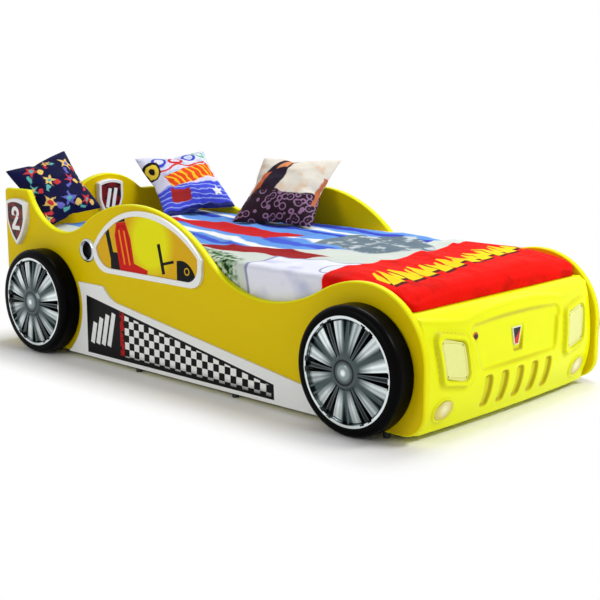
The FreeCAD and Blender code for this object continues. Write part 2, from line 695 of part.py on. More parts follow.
def switch_and_badge():
    """Push button in its bezel, a plain badge, and the lamp modules and battery box behind."""
    ring = new_body("switch_bezel")
    rim, bore = "button_radius + bezel_wall + 2.5", "button_radius + fit_gap"
    barrel = "button_radius + bezel_wall"
    revolve(ring, outline(ring, "bezel_half", "XY_Plane", [
        (bore, "-bezel_barrel", 0), (barrel, "-bezel_barrel", 0), (barrel, "0", 0),
        (rim, "0", 0), (rim, "1", 0), (barrel, "2", 0), (bore, "2", 0)]))
    upright = Rotation(Vector(0, 0, 1), -90)
    place(ring, "brow_x - spot_depth", "-button_place", "button_level", upright)
    node(ring, "switch_bezel")
    button = new_body("light_button")
    revolve(button, outline(button, "button_half", "XY_Plane", [
        ("0", "-button_stem", 0), ("button_radius", "-button_stem", 0),
        ("button_radius", "button_proud - 1.5", 0),
        ("button_radius - 1.5", "button_proud", 0), ("0", "button_proud", 0)]))
    place(button, "brow_x - spot_depth", "-button_place", "button_level", upright)
    node(button, "light_button")
    badge = new_body("badge_plate")
    plate = outline(badge, "badge_outline", "YZ_Plane", [
        ("-badge_foot / 4", "badge_level + 14", 0), ("badge_foot / 4", "badge_level + 14", 0),
        ("badge_width * 0.28", "badge_level + badge_height - 10", 0),
        ("-badge_width * 0.28", "badge_level + badge_height - 10", 0)])
    feature(badge, "Pad", plate, "badge_thickness")
    place(badge, "brow_x - badge_depth")
    node(badge, "badge_plate")
    front = "foot_x + footboard_thickness"
    edge = "(inner_half - lamp_foot_outer - 20)"
    for label, y in (("lamp_module_right", "-" + edge),
                     ("lamp_module_left", edge + " - module_width")):
        node(box(label, "module_depth", "module_width", "module_height", front, y, "190"), label)
    node(box("battery_box", "25", "100", "60", front, "-button_place - 20", "270"),
         "battery_box")


# ---------------------------------------------------------------- trims on the side panels
def on_panel(body, side, thickness):
    """Stand a trim that is padded towards -Y on the outer face of a side panel."""
    return place(body, "0", "-half_width" if side < 0 else "half_width + " + thickness)


def sill_corners():
    """Plate between the wheels. Its ends keep an even gap to the tyres."""
    low = "(tyre_radius - floor_gap)"
    foot = "sqrt(sill_reach^2 - %s^2)" % low
    high = "sqrt(sill_reach^2 - (sill_high - tyre_radius)^2)"
    tip = "sqrt(sill_reach^2 - (tyre_radius - sill_low)^2)"
    return [("rear_x + " + foot, "floor_gap", 0),
            ("front_x - " + foot, "floor_gap", "-sill_reach"),
            ("front_x - " + tip, "sill_low", 0),
            ("rear_x + sill_step_place", "sill_step", "-sill_bend"),
            ("rear_x + sill_step_place - 70", "sill_high - 4", "sill_bend / 4"),
            ("rear_x + sill_step_place - 82", "sill_high", 0),
            ("rear_x + " + high, "sill_high", "-sill_reach")]


def window_corners(inset):
    """Side window: straight sill, round lower corners, two arcs that meet at the crown."""
    low, top = "(window_low + (%s))" % inset, "(window_high - (%s))" % inset
    rear = "(window_rear - half_length + (%s))" % inset
    front = "(window_front - half_length - (%s))" % inset
    crown = "(window_crown - half_length)"
    nose, tail = "(window_nose_level)", "(window_tail_level)"
    bow = "((%s - %s)^2 + (%s - %s)^2) / (2 * (%s - %s))"
    front_bow = bow % (front, crown, top, nose, top, nose)
    rear_bow = bow % (crown, rear, top, tail, top, tail)
    return [(rear + " + window_tail_round", low, 0),
            (front + " - window_nose_round", low, "window_nose_round"),
            (front, low + " + window_nose_round", 0), (front, nose, front_bow),
            (crown, top, rear_bow),
            (rear, tail, "window_tail_round")]


def shield_corners(across="0", level="0", inset="0"):
    """Shield with a bowed top and sides that curve in to its foot."""
    half, rise = "(shield_width / 2 - (%s))" % inset, "(shield_height / 2 - (%s))" % inset
    return [(across, level + " - " + rise, "shield_side_radius"),
            ("%s + %s" % (across, half), level + " + shield_height * 0.1", 0),
            ("%s + %s" % (across, half), "%s + %s - shield_height * 0.08" % (level, rise),
             "shield_top_radius"),
            ("%s - %s" % (across, half), "%s + %s - shield_height * 0.08" % (level, rise), 0),
            ("%s - %s" % (across, half), level + " + shield_height * 0.1",
             "shield_side_radius")]


def trims():
    """Sill plates, window frames with their boards, shields and filler caps."""
    for label, side in (("right", -1), ("left", 1)):
        sill = new_body("sill_plate_" + label)
        feature(sill, "Pad", outline(sill, "sill_outline_" + label, "XZ_Plane",
                                     sill_corners()), "sill_thickness")
        on_panel(sill, side, "sill_thickness")
        node(sill, "sill_plate_" + label)
        frame = new_body("window_frame_" + label)
        feature(frame, "Pad", outline(frame, "window_edge_" + label, "XZ_Plane",
                                      window_corners("0")), "window_thickness")
        hole = outline(frame, "window_hole_" + label, "XZ_Plane",
                       window_corners("window_band"))
        feature(frame, "Pocket", hole, "window_thickness + 2", Reversed=True)
        on_panel(frame, side, "window_thickness")
        node(frame, "window_frame_" + label)
        board = new_body("window_board_" + label)
        feature(board, "Pad", outline(board, "board_edge_" + label, "XZ_Plane",
                                      window_corners("window_band + fit_gap")),
                "board_thickness")
        on_panel(board, side, "board_thickness")
        node(board, "window_board_" + label)
        turn = Rotation(Vector(1, 0, 0), 180) if side < 0 else Rotation()
        for part, corners in (
                ("filler_ring_", [("filler_radius - 3", "0", 0), ("filler_ring_radius", "0",
                                                                 "filler_ring_radius / 4"),
                                  ("filler_ring_radius - 9", "8", 0)]),
                ("filler_cup_", [("0", "fit_gap - filler_depth", 0),
                                 ("filler_radius - fit_gap", "fit_gap - filler_depth", 0),
                                 ("filler_radius - fit_gap", "0", 0),
                                 ("filler_radius - 3", "0", 0),
                                 ("filler_radius - 3", "3 - filler_depth", 0),
                                 ("0", "3 - filler_depth", 0)])):
            body = turned(part + label, corners)
            place(body, "filler_from_rear - half_length", "%d * half_width" % side,
                  "filler_level", turn)
            node(body, part + label)
    for label, role, x, y, corners in (
            ("shield_side", "XZ_Plane", "0", "-half_width",
             shield_corners("shield_from_rear - half_length", "shield_level")),
            ("shield_head", "YZ_Plane", "head_x", "0", shield_corners("0", "shield_head_level"))):
        shield = new_body(label)
        base = feature(shield, "Pad", outline(shield, label + "_outline", role, corners),
                       "shield_thickness")
        axis, level = ("y", "-shield_thickness") if role == "XZ_Plane" else (
            "x", "shield_thickness")
        round_edges(shield, base, faces_at(base.Shape, axis, number(level)), "shield_round",
                    "Chamfer")
        place(shield, x, y)
        node(shield, label)


# ---------------------------------------------------------------- bedding
def mattress():
    """Block with rounded edges, on the straps of the slats."""
    body = new_body("mattress")
    rear, front = "(head_x + mattress_head_gap)", "(foot_x - mattress_foot_gap)"
    half = "(inner_half - mattress_side_gap)"
    base = feature(body, "Pad", outline(body, "mattress_outline", "XY_Plane", [
        (rear, "-" + half, 0), (front, "-" + half, 0), (front, half, 0), (rear, half, 0)]),
        "mattress_top - mattress_base")
    round_edges(body, base, ["Face%d" % (index + 1) for index in range(len(base.Shape.Faces))],
                "mattress_round")
    place(body, "0", "0", "mattress_base")
    return node(body, "mattress")


def quilt_side_view(grow):
    """Side view of the quilt's outer face (grow its thickness) or of its inside (grow 0)."""
    tail = "(head_x + mattress_head_gap + quilt_head_gap)"
    fall = "(foot_x - fit_gap + 2 + (%s))" % grow
    top = "(mattress_top + fit_gap + (%s))" % grow
    inner = number(grow) == 0
    back = tail + " - 30" if inner else tail
    hem = "quilt_hem - 10" if inner else "quilt_hem"
    ledge = "bumper_top + fit_gap"
    return [(back, hem, 0), ("foot_x - fit_gap", hem, 0), ("foot_x - fit_gap", ledge, 0),
            (fall, ledge, 0), (fall, top + " - quilt_round - (%s)" % grow,
                               "quilt_round + (%s)" % grow),
            (fall + " - quilt_round - (%s)" % grow, top, 0), (back, top, 0)]


def quilt():
    """Quilt over the mattress: thin down its sides, thicker on top, and down to the bumper."""
    bars = []
    for name, grow, half in (("quilt_outside", "quilt_thickness", "inner_half - 1"),
                             ("quilt_inside", "0", "inner_half - 1 - quilt_side")):
        body = new_body(name)
        side_view = outline(body, name + "_view", "XZ_Plane", quilt_side_view(grow),
                            "-(%s)" % half)
        feature(body, "Pad", side_view, "2 * (%s)" % half)
        bars.append(body)
    return node(cut("bedspread", bars[0], bars[1]), "bedspread")


def cushion(label, side, thickness, spot, yaw, lean, roll):
    """Pillow lofted through square sections: drawn in at the seam, crowned above and below."""
    body = new_body(label)
    sections = []
    for index, (level, share, bow) in enumerate(((-1, 0.42, 0.09), (-0.66, 0.80, 0.03),
                                                 (0, 1, -0.045), (0.66, 0.80, 0.03),
                                                 (1, 0.42, 0.09))):
        half = "%s * %g / 2" % (side, share)
        bend = "%s * %g * %g" % (side, share, (0.25 + bow * bow) / (2 * bow))
        corners = [("-(%s)" % half, "-(%s)" % half, bend), (half, "-(%s)" % half, bend),
                   (half, half, bend), ("-(%s)" % half, half, bend)]
        sections.append(outline(body, "%s_section%d" % (label, index), "XY_Plane", corners,
                                "%s / 2 * %g" % (thickness, level)))
    loft = body.newObject("PartDesign::AdditiveLoft", label + "_loft")
    loft.Profile = sections[0]
    loft.Sections = sections[1:]
    doc.recompute()
    turn = Rotation(Vector(0, 0, 1), yaw).multiply(Rotation(Vector(1, 0, 0), lean))
    turn = turn.multiply(Rotation(Vector(0, 1, 0), roll))
    place(body, *spot, rotation=turn.multiply(Rotation(Vector(1, 0, 0), 90)))
    return node(body, label)


# ---------------------------------------------------------------- fixings
def fixings():
    """Glides under the panels and steel angles inside the four corners."""
    glides = []
    for side, name in ((-1, "right"), (1, "left")):
        for index, share in enumerate((0.06, 0.38, 0.62, 0.93), start=1):
            glides.append(cylinder("glide_%s_%d" % (name, index), "glide_radius", "floor_gap",
                                   "bed_length * %g - half_length" % share,
                                   "%d * (half_width - panel_thickness / 2)" % side))
    group("panel_glides", glides)
    angles = []
    for end, x, plate_x in (("rear", "head_x", "head_x"),
                            ("front", "foot_x - bracket_leg", "foot_x - bracket_thickness")):
        for side in (-1, 1):
            for level in ("bracket_low", "bracket_high"):
                name = "angle_%s_%s_%s" % (end, "right" if side < 0 else "left", level[8:])
                flank = "-inner_half" if side < 0 else "inner_half - bracket_thickness"
                plate = "-inner_half" if side < 0 else "inner_half - bracket_leg"
                legs = [box(name + "_flank", "bracket_leg", "bracket_thickness",
                            "bracket_height", x, flank, level),
                        box(name + "_plate", "bracket_thickness", "bracket_leg",
                            "bracket_height", plate_x, plate, level)]
                angles.append(fuse(name, legs))
    group("corner_angles", angles)


# ---------------------------------------------------------------- assembly
def main():
    side_panel("side_panel_right", "panel_thickness - half_width")
    side_panel("side_panel_left", "half_width")
    headboard()
    footboard()
    slatted_base()
    wheels()
    bumper()
    switch_and_badge()
    trims()
    mattress()
    quilt()
    cushion("cushion_navy", "cushion_navy_side", "cushion_navy_thickness",
            ("head_x + cushion_navy_slope * (shoulder_height - quilt_top) - cushion_navy_back",
             "154.7 - inner_half", "quilt_top + cushion_navy_rise"), 80, -37.6, -16.2)
    cushion("cushion_blue", "cushion_blue_side", "cushion_blue_thickness",
            ("head_x + 139", "inner_half - 151.4", "quilt_top + 131.8"), 72.2, -47.2, -6.3)
    cushion("cushion_brown", "cushion_brown_side", "cushion_brown_thickness",
            ("hump_x - 50", "inner_half - 121.2", "quilt_top + 129"), 13.7, -48.4, -1.0)
    fixings()
    doc.recompute()

    faults = [item.Name for item in doc.Objects
              if "Invalid" in item.State or "Error" in item.State]
    for item in NODES:
        if item.Shape.isNull() or not item.Shape.isValid() or not item.Shape.Solids:
            faults.append(item.Label)
    if faults:
        print("faults:", faults)
        sys.exit(1)

    os.makedirs("parts", exist_ok=True)
    for item in NODES:
        item.Shape.exportStep("parts/%s.step" % item.Label)
        print(item.Label, len(item.Shape.Solids), round(item.Shape.Volume))


if __name__ == "__main__":
    main()
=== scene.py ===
"""Looks of the children's car bed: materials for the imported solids, printed panels, the quilt, the
mattress and the cushions, a pale floor, soft light and the camera. Metres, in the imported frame; the
bumper's moulding is worked out in millimetres."""
from functools import partialmethod
from math import atan2, copysign, cos, hypot, pi, radians, sin, sqrt

import bmesh
import bpy
import numpy as np
from mathutils import Matrix, Vector, noise


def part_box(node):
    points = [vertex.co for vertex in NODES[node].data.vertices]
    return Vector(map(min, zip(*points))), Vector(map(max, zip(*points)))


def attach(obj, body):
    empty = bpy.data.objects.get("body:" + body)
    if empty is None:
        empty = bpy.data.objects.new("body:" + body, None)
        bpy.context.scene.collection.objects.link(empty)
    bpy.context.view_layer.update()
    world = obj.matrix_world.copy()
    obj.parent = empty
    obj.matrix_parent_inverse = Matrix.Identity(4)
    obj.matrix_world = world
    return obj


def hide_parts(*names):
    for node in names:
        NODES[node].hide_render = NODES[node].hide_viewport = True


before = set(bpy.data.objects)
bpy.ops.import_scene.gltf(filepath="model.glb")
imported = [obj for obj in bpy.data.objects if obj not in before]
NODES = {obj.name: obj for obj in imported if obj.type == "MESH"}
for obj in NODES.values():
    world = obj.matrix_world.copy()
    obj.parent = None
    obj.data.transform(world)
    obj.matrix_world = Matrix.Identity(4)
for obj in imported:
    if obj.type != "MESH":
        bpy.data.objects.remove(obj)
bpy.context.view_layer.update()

SCENE = bpy.context.scene
BODY = "bed"
SOFT_EDGE = 0.0012

# wheels: the rear pair's place along the bed, the way from it to the front pair, the axles' height
REAR_WHEEL_X, WHEEL_BASE, AXLE_Z = -0.758, 1.553, 0.195

# moulding, in mm: half its width, the brow's place, the belly's bow, its ledge and foot, and a
# headlight's outline (y, z) with the insets of its lens and of the lens's screws
BUMP_Y, BROW_X, BELLY_BOW = 454.7, 1016.0, 21.0
LEDGE_Z, FOOT_Z = 372.0, 20.0
LAMP = [(246.0, 133.0), (391.0, 160.0), (416.0, 323.0), (266.0, 293.0)]
LENS_INSET, SCREW_INSET = 20, 31


# ---------------- numbers in a node tree
def linear(channel):
    return channel / 12.92 if channel <= 0.04045 else ((channel + 0.055) / 1.055) ** 2.4


def rgb(red, green, blue):
    """Colour from display values 0-255."""
    return tuple(linear(c / 255) for c in (red, green, blue)) + (1.0,)


AMBER = rgb(224, 196, 2)
LEMON = rgb(240, 236, 8)
INK = rgb(14, 13, 14)
PAPER = rgb(238, 240, 238)


class Num:
    """A number in a node tree, with the usual arithmetic."""

    def __init__(self, tree, socket):
        self.tree = tree
        self.socket = socket

    def op(self, kind, *others, clamp=False):
        node = self.tree.nodes.new("ShaderNodeMath")
        node.operation = kind
        node.use_clamp = clamp
        self.tree.links.new(self.socket, node.inputs[0])
        for slot, other in enumerate(others, start=1):
            if isinstance(other, Num):
                self.tree.links.new(other.socket, node.inputs[slot])
            else:
                node.inputs[slot].default_value = other
        return Num(self.tree, node.outputs[0])

    __add__, __sub__ = partialmethod(op, "ADD"), partialmethod(op, "SUBTRACT")
    __mul__, __truediv__ = partialmethod(op, "MULTIPLY"), partialmethod(op, "DIVIDE")
    least, most = partialmethod(op, "MINIMUM"), partialmethod(op, "MAXIMUM")
    size, root = partialmethod(op, "ABSOLUTE"), partialmethod(op, "SQRT")
    sine, fraction = partialmethod(op, "SINE"), partialmethod(op, "FRACT")

    def __rsub__(self, other):
        return -self + other

    def __neg__(self):
        return self.op("MULTIPLY", -1.0)

    def wrap(self, period):
        """Distance from the middle of the cell of this period, from -period/2 to period/2."""
        return self.op("WRAP", period / 2, -period / 2)

    def band(self, half):
        """Distance into a band of this half width about the zero line."""
        return self.size() - half

    def inside(self, soft=SOFT_EDGE):
        """1 where this distance is below zero, 0 above, with a narrow soft edge."""
        return self.op("MULTIPLY_ADD", -1.0 / soft, 0.5, clamp=True)

    def above(self, level, slope):
        """0 up to this level, from there up to 1 by this slope."""
        return (self - level).op("MULTIPLY", slope, clamp=True)

    def clamped(self):
        return self.op("ADD", 0.0, clamp=True)


def disc(x, y, cx, cy, radius):
    return ((x - cx) * (x - cx) + (y - cy) * (y - cy)).root() - radius


def turned(x, y, cx, cy, angle):
    """Coordinates about (cx, cy), turned by an angle in degrees."""
    c, s = cos(radians(angle)), sin(radians(angle))
    dx, dy = x - cx, y - cy
    return dx * c + dy * s, dy * c - dx * s


def block(x, y, cx, cy, half_x, half_y, angle=0.0):
    u, v = turned(x, y, cx, cy, angle)
    return (u.size() - half_x).most(v.size() - half_y)


def convex(x, y, corners):
    """Distance into a convex outline whose corners run anticlockwise."""
    result = None
    for (ax, ay), (bx, by) in zip(corners, corners[1:] + corners[:1]):
        length = hypot(bx - ax, by - ay)
        nx, ny = (by - ay) / length, (ax - bx) / length
        side = (x - ax) * nx + (y - ay) * ny
        result = side if result is None else result.most(side)
    return result


def star(x, y, cx, cy, radius, angle=0.0):
    """Five-pointed star, as folded wedges."""
    u, v = turned(x, y, cx, cy, angle)
    around = v.op("ARCTAN2", u).wrap(2 * pi / 5).size()
    reach = (u * u + v * v).root()
    along, across = reach * around.op("COSINE"), reach * around.sine()
    inner = radius * 0.42
    tip_x, tip_y = inner * cos(pi / 5), inner * sin(pi / 5)
    length = hypot(tip_x - radius, tip_y)
    nx, ny = tip_y / length, (radius - tip_x) / length
    return (along - radius) * nx + across * ny


# ---------------- outlines as distances
def segment_gap(points, a, b):
    """Distance of points (n, 2) from the straight run between a and b."""
    rest, along = points - a, b - a
    share = np.clip((rest @ along) / (along @ along), 0, 1)
    gap = rest - share[:, None] * along
    return np.hypot(gap[:, 0], gap[:, 1])


def away(points, corners):
    """Signed distance of points (n, 2) from a closed outline, below zero inside."""
    corners = np.asarray(corners, float)
    best = np.full(len(points), 1e9)
    inside = np.zeros(len(points), bool)
    for a, b in zip(corners, np.roll(corners, -1, axis=0)):
        best = np.minimum(best, segment_gap(points, a, b))
        crosses = ((a[1] > points[:, 1]) != (b[1] > points[:, 1]))
        with np.errstate(divide="ignore", invalid="ignore"):
            at = (b[0] - a[0]) * (points[:, 1] - a[1]) / (b[1] - a[1]) + a[0]
        inside ^= crosses & (points[:, 0] < at)
    return np.where(inside, -best, best)


def shrunk(corners, inset):
    """Convex outline moved in by inset; it runs anticlockwise."""
    out = []
    count = len(corners)
    for index in range(count):
        a, b, c = (np.array(corners[(index + k) % count], float) for k in (-1, 0, 1))
        one, two = (b - a) / np.linalg.norm(b - a), (c - b) / np.linalg.norm(c - b)
        first, second = np.array((-one[1], one[0])), np.array((-two[1], two[0]))
        out.append(b + (first + second) * inset / (1 + first @ second))
    return out


def rounded(points, corners, radius):
    """Signed distance from a convex outline with round corners."""
    return away(points, shrunk(corners, radius)) - radius


def ease(low, high, value):
    share = np.clip((value - low) / (high - low), 0, 1)
    return share * share * (3 - 2 * share)


# ---------------- materials
def fill(tree, node, **inputs):
    """Set a node's inputs to values, or link them to sockets."""
    for name, value in inputs.items():
        place = node.inputs[name.replace("_", " ")]
        if isinstance(value, bpy.types.NodeSocket):
            tree.links.new(value, place)
        else:
            place.default_value = value
    return node


def mixed(tree, share, first, second):
    """Colour between two, by a share from 0 to 1."""
    node = tree.nodes.new("ShaderNodeMix")
    node.data_type = "RGBA"
    fill(tree, node, Factor=share.socket, A=first, B=second)
    return node.outputs["Result"]


class Surface:
    """A procedural material on the Principled shader, coloured in layers."""

    def __init__(self, name, color, rough=0.4, space="object", vary=0.05, vary_scale=9.0):
        self.material = bpy.data.materials.new(name)
        self.material.use_nodes = True
        self.tree = self.material.node_tree
        self.tree.nodes.clear()
        self.out = self.node("OutputMaterial")
        self.shader = self.node("BsdfPrincipled", Roughness=rough)
        self.tree.links.new(self.shader.outputs[0], self.out.inputs[0])
        self.places = self.node("TexCoord")
        self.place = self.places.outputs["UV" if space == "uv" else "Object"]
        self.x, self.y, self.z = self.parts(self.place)
        darker = tuple(c * (1 - 2.2 * vary) for c in color[:3]) + (1,)
        self.color = mixed(self.tree, self.noise(vary_scale, 3), color, darker)
        self.heights = []

    def node(self, kind, **inputs):
        return fill(self.tree, self.tree.nodes.new("ShaderNode" + kind), **inputs)

    def parts(self, socket):
        """A vector's three parts."""
        split = self.node("SeparateXYZ", Vector=socket)
        return [Num(self.tree, split.outputs[i]) for i in range(3)]

    def noise(self, scale, detail=2.0, vector=None):
        node = self.node("TexNoise", Scale=scale, Detail=detail, Vector=vector or self.place)
        return Num(self.tree, node.outputs["Fac"])

    def wave(self, scale, direction):
        node = self.node("TexWave", Scale=scale, Vector=self.place)
        node.bands_direction = direction
        return Num(self.tree, node.outputs["Fac"])

    def layer(self, mask, color):
        """Paint a colour where the mask is 1."""
        self.color = mixed(self.tree, mask, self.color, color)

    def paint(self, shape, color, soft=SOFT_EDGE):
        """Paint a colour inside an outline, a distance that is below zero inside."""
        self.layer(shape.inside(soft), color)

    def relief(self, height, depth):
        """Add a height in metres to the bump."""
        self.heights.append(height * depth)

    def grain(self, scale, detail, depth):
        """Add an uneven height in metres to the bump."""
        self.relief(self.noise(scale, detail), depth)

    def done(self, **values):
        """The material, with its colour, its bump and these values on the shader."""
        fill(self.tree, self.shader, Base_Color=self.color, **values)
        if self.heights:
            total = self.heights[0]
            for height in self.heights[1:]:
                total = total + height
            bump = self.node("Bump", Distance=1.0, Strength=1.0, Height=total.socket)
            self.tree.links.new(bump.outputs[0], self.shader.inputs["Normal"])
        return self.material


def lacquered_board(name, axis):
    """Yellow lacquer with painted light: painted shade, a deeper amber, on the flat faces and a
    painted highlight, a fresher lemon, on the rounded edges.
    """
    s = Surface(name, LEMON, rough=0.36, vary=0.02)
    facing = s.parts(s.places.outputs["Normal"])[axis].size()
    # painted shade by facing: faces square to the axis turn amber, the rounded edges keep a lemon
    # painted highlight
    s.layer(facing.above(0.96, 30.0), AMBER)
    s.grain(260.0, 1.0, 0.00004)
    return s.done(Specular_IOR_Level=0.07)


def plastic(name, color, rough=0.3, vary=0.03, grain=0.00003, **more):
    s = Surface(name, color, rough=rough, vary=vary)
    s.grain(320.0, 2.0, grain)
    return s.done(**more)


def timber(name, color, axis):
    """Pale wood whose grain runs along one axis."""
    s = Surface(name, color, rough=0.6, vary=0.08, vary_scale=6.0)
    squeeze = s.node("Mapping", Scale=tuple(0.06 if i == axis else 1.0 for i in range(3)),
                     Vector=s.place)
    grain = s.noise(140.0, 5.0, squeeze.outputs[0])
    s.layer((grain - 0.45) * 1.3, tuple(c * 0.62 for c in color[:3]) + (1,))
    s.relief(grain, 0.0003)
    return s.done()


def steel(name):
    s = Surface(name, rgb(196, 198, 200), rough=0.35, vary=0.06, vary_scale=30.0)
    s.grain(400.0, 2.0, 0.00003)
    return s.done(Metallic=1.0)


def tyre_rubber():
    s = Surface("tyre_rubber", rgb(4, 4, 5), rough=0.3, vary=0.2, vary_scale=40.0)
    s.grain(220.0, 3.0, 0.00006)
    return s.done(Specular_IOR_Level=0.035)


def silver_cap():
    """Silver cap with painted reflections: a dark ground, bright petals with painted reflection
    streaks between grooves of painted shade, a dark bell hub with a painted highlight on its crown,
    and a painted highlight on the rim.
    """
    s = Surface("silver_cap", rgb(62, 78, 80), rough=0.2, vary=0.12, vary_scale=14.0)
    u = s.x - (s.x.op("GREATER_THAN", 0.0) * WHEEL_BASE + REAR_WHEEL_X)
    v = s.z - AXLE_Z
    far, around = (u * u + v * v).root(), v.op("ARCTAN2", u)
    # painted reflection: light and dark streaks round the cap, laid on the petals below
    reflection_streak = (around * 47.0).sine() * 0.16 + (around * 3.0 + 0.7).sine() * 0.22 + 0.62
    fold = around.wrap(pi / 3).size()
    ramp = ((far - 0.052) / 0.05).clamped()
    petal_reflection = (fold - 0.24).band(0.15).inside(0.12) * ramp
    s.layer(petal_reflection * reflection_streak.clamped(), rgb(232, 242, 242))
    # painted shade in the grooves between the petals, and a painted highlight along their edges
    s.layer((fold - 0.036).inside(0.02) * ramp, rgb(16, 22, 24))
    s.layer((fold - 0.085).band(0.014).inside(0.015) * ramp, rgb(214, 226, 226))
    # hub from its foot to its crown, with painted shade in its ring groove and a painted highlight on
    # top, then the groove of the rim in painted shade and a painted highlight on the rim's edge
    s.paint(far - 0.054, rgb(66, 78, 80), 0.012)
    s.paint((far - 0.036).band(0.003), rgb(14, 18, 20), 0.002)
    s.paint(far - 0.024, rgb(132, 144, 146), 0.01)
    s.paint(far - 0.009, rgb(226, 234, 234), 0.008)
    s.paint((far - 0.1525).band(0.0025), rgb(26, 32, 34), 0.002)
    s.paint(0.1570 - far, rgb(222, 230, 230), 0.002)
    s.grain(120.0, 1.0, 0.00003)
    return s.done(Metallic=0.85, Coat_Weight=0.25, Coat_Roughness=0.06)


def bumper_gloss():
    """Glossy lemon skin with painted shade: a value carried on the mesh turns it a deeper yellow in
    its sunk parts, its slots and on the slopes of its relief.
    """
    s = Surface("bumper_gloss", rgb(240, 246, 0), rough=0.28, vary=0.01)
    shade_attribute = s.node("Attribute")
    shade_attribute.attribute_name = "recess_shade"
    # painted shade: a deeper olive yellow where the mesh's value is high
    s.layer(Num(s.tree, shade_attribute.outputs["Fac"]).clamped(), rgb(190, 172, 0))
    s.grain(320.0, 2.0, 0.00003)
    return s.done(Specular_IOR_Level=0.06, Coat_Weight=0.22, Coat_Roughness=0.05)


def lens_frosted():
    """Headlight lens with a darker line inside its edge and a dot for each screw."""
    s = Surface("lens_frosted", rgb(240, 242, 150), rough=0.35, vary_scale=50.0)
    y, z = s.y.size(), s.z
    rim = convex(y, z, [tuple(corner / 1000) for corner in shrunk(LAMP, LENS_INSET)])
    s.paint((rim + 0.008).band(0.0011), rgb(206, 206, 96), 0.001)
    for screw_y, screw_z in shrunk(LAMP, SCREW_INSET):
        screw = disc(y, z, screw_y / 1000, screw_z / 1000, 0.0026)
        s.paint(screw, rgb(116, 116, 66), 0.001)
    s.grain(500.0, 2.0, 0.0001)
    return s.done(Specular_IOR_Level=0.3, Coat_Weight=0.15)


def fog_frosted():
    """Round lens, paler to its middle."""
    s = Surface("fog_frosted", rgb(222, 206, 96), rough=0.3, vary=0.08, vary_scale=40.0)
    centre_y, centre_z, radius = 0.364, 0.088, 0.030
    far = disc(s.y.size(), s.z, centre_y, centre_z, 0.0)
    s.layer((1.0 - far / radius).clamped(), rgb(255, 252, 214))
    s.grain(300.0, 2.0, 0.0002)
    return s.done(Specular_IOR_Level=0.3, Coat_Weight=0.2)


def badge_print():
    """Small plate split across by one slanted line, red below and black above, in a white edge."""
    s = Surface("badge_print", INK, rough=0.2, vary=0.0)
    y, z = s.y, s.z
    s.paint(z - 0.248 - y * 0.9, rgb(206, 22, 28))
    rim = convex(y, z, [(-0.011, 0.219), (0.011, 0.219), (0.0235, 0.275), (-0.0235, 0.275)])
    s.paint(-rim - 0.0026, PAPER)
    return s.done(Specular_IOR_Level=0.3)


def shield_print(which):
    """White shield with a dark mottled field: a race number, or two slanted bars."""
    s = Surface("shield_" + which, PAPER, rough=0.3, vary=0.01)
    side = which == "number"
    u, v = (s.x + 0.927, s.z - 0.477) if side else (s.y, s.z - 0.515)
    w = u.size()
    edge = w - 0.0625
    for cx, cy, radius in ((-0.1213, 0.0574, 0.19), (0, -0.0617, 0.15)):
        edge = edge.most(disc(w, v, cx, cy, radius))
    field = (edge + 0.013).inside()
    s.layer(field, rgb(30, 6, 8))
    s.layer(field * s.noise(34.0, 3.0).above(0.44, 12.0), rgb(120, 16, 20))
    if side:
        v = v - 0.012
        loop = disc(u, v, 0, 0.022, 0.017).band(0.0075).most(0.012 - v)
        mark = loop.least(block(u, v, -0.001, -0.010, 0.026, 0.0078, 53))
        mark = mark.least(block(u, v, 0.001, -0.035, 0.025, 0.0078))
    else:
        bars = [block(u, v, cx, 0.012, 0.0085, 0.040, -12) for cx in (-0.014, 0.016)]
        mark = bars[0].least(bars[1])
    s.paint(mark, PAPER, 0.002)
    return s.done(Specular_IOR_Level=0.25)


def sill_print():
    """White plate with a black printed field: slanted bars, a red strip and a checker."""
    s = Surface("sill_print", PAPER, rough=0.28, vary=0.015)
    x, z = s.x, s.z
    field = convex(x, z, [(-0.513, 0.032), (0.443, 0.031), (0.441, 0.081), (-0.513, 0.244)])
    s.paint(field, INK)
    bar_foot, bar_half = 0.070, 0.011
    for bar_x, bar_top in ((-0.474, 0.150), (-0.440, 0.172), (-0.406, 0.188), (-0.372, 0.198)):
        middle, half = (bar_foot + bar_top) / 2, (bar_top - bar_foot) / 2
        s.paint(block(x, z, bar_x, middle, bar_half, half, -14), PAPER)
    cell_x, cell_z = 0.0272, 0.0255
    column, row = (x / (2 * cell_x)).fraction(), (z / (2 * cell_z)).fraction()
    odd = ((column - 0.5) * (row - 0.5)).op("GREATER_THAN", 0.0)
    zone = convex(x, z, [(-0.296, 0.047), (0.430, 0.040), (0.430, 0.075), (-0.296, 0.197)])
    fade = ((z - 0.034) / 0.03).clamped()
    s.layer(odd * zone.inside(0.002) * fade, PAPER)
    strip = convex(x, z, [(-0.322, 0.050), (-0.300, 0.050), (-0.300, 0.204), (-0.322, 0.210)])
    s.layer(strip.inside(0.003) * s.noise(55.0, 2.0).above(0.42, 14.0), rgb(178, 18, 22))
    s.grain(300.0, 1.0, 0.00003)
    return s.done(Specular_IOR_Level=0.07)


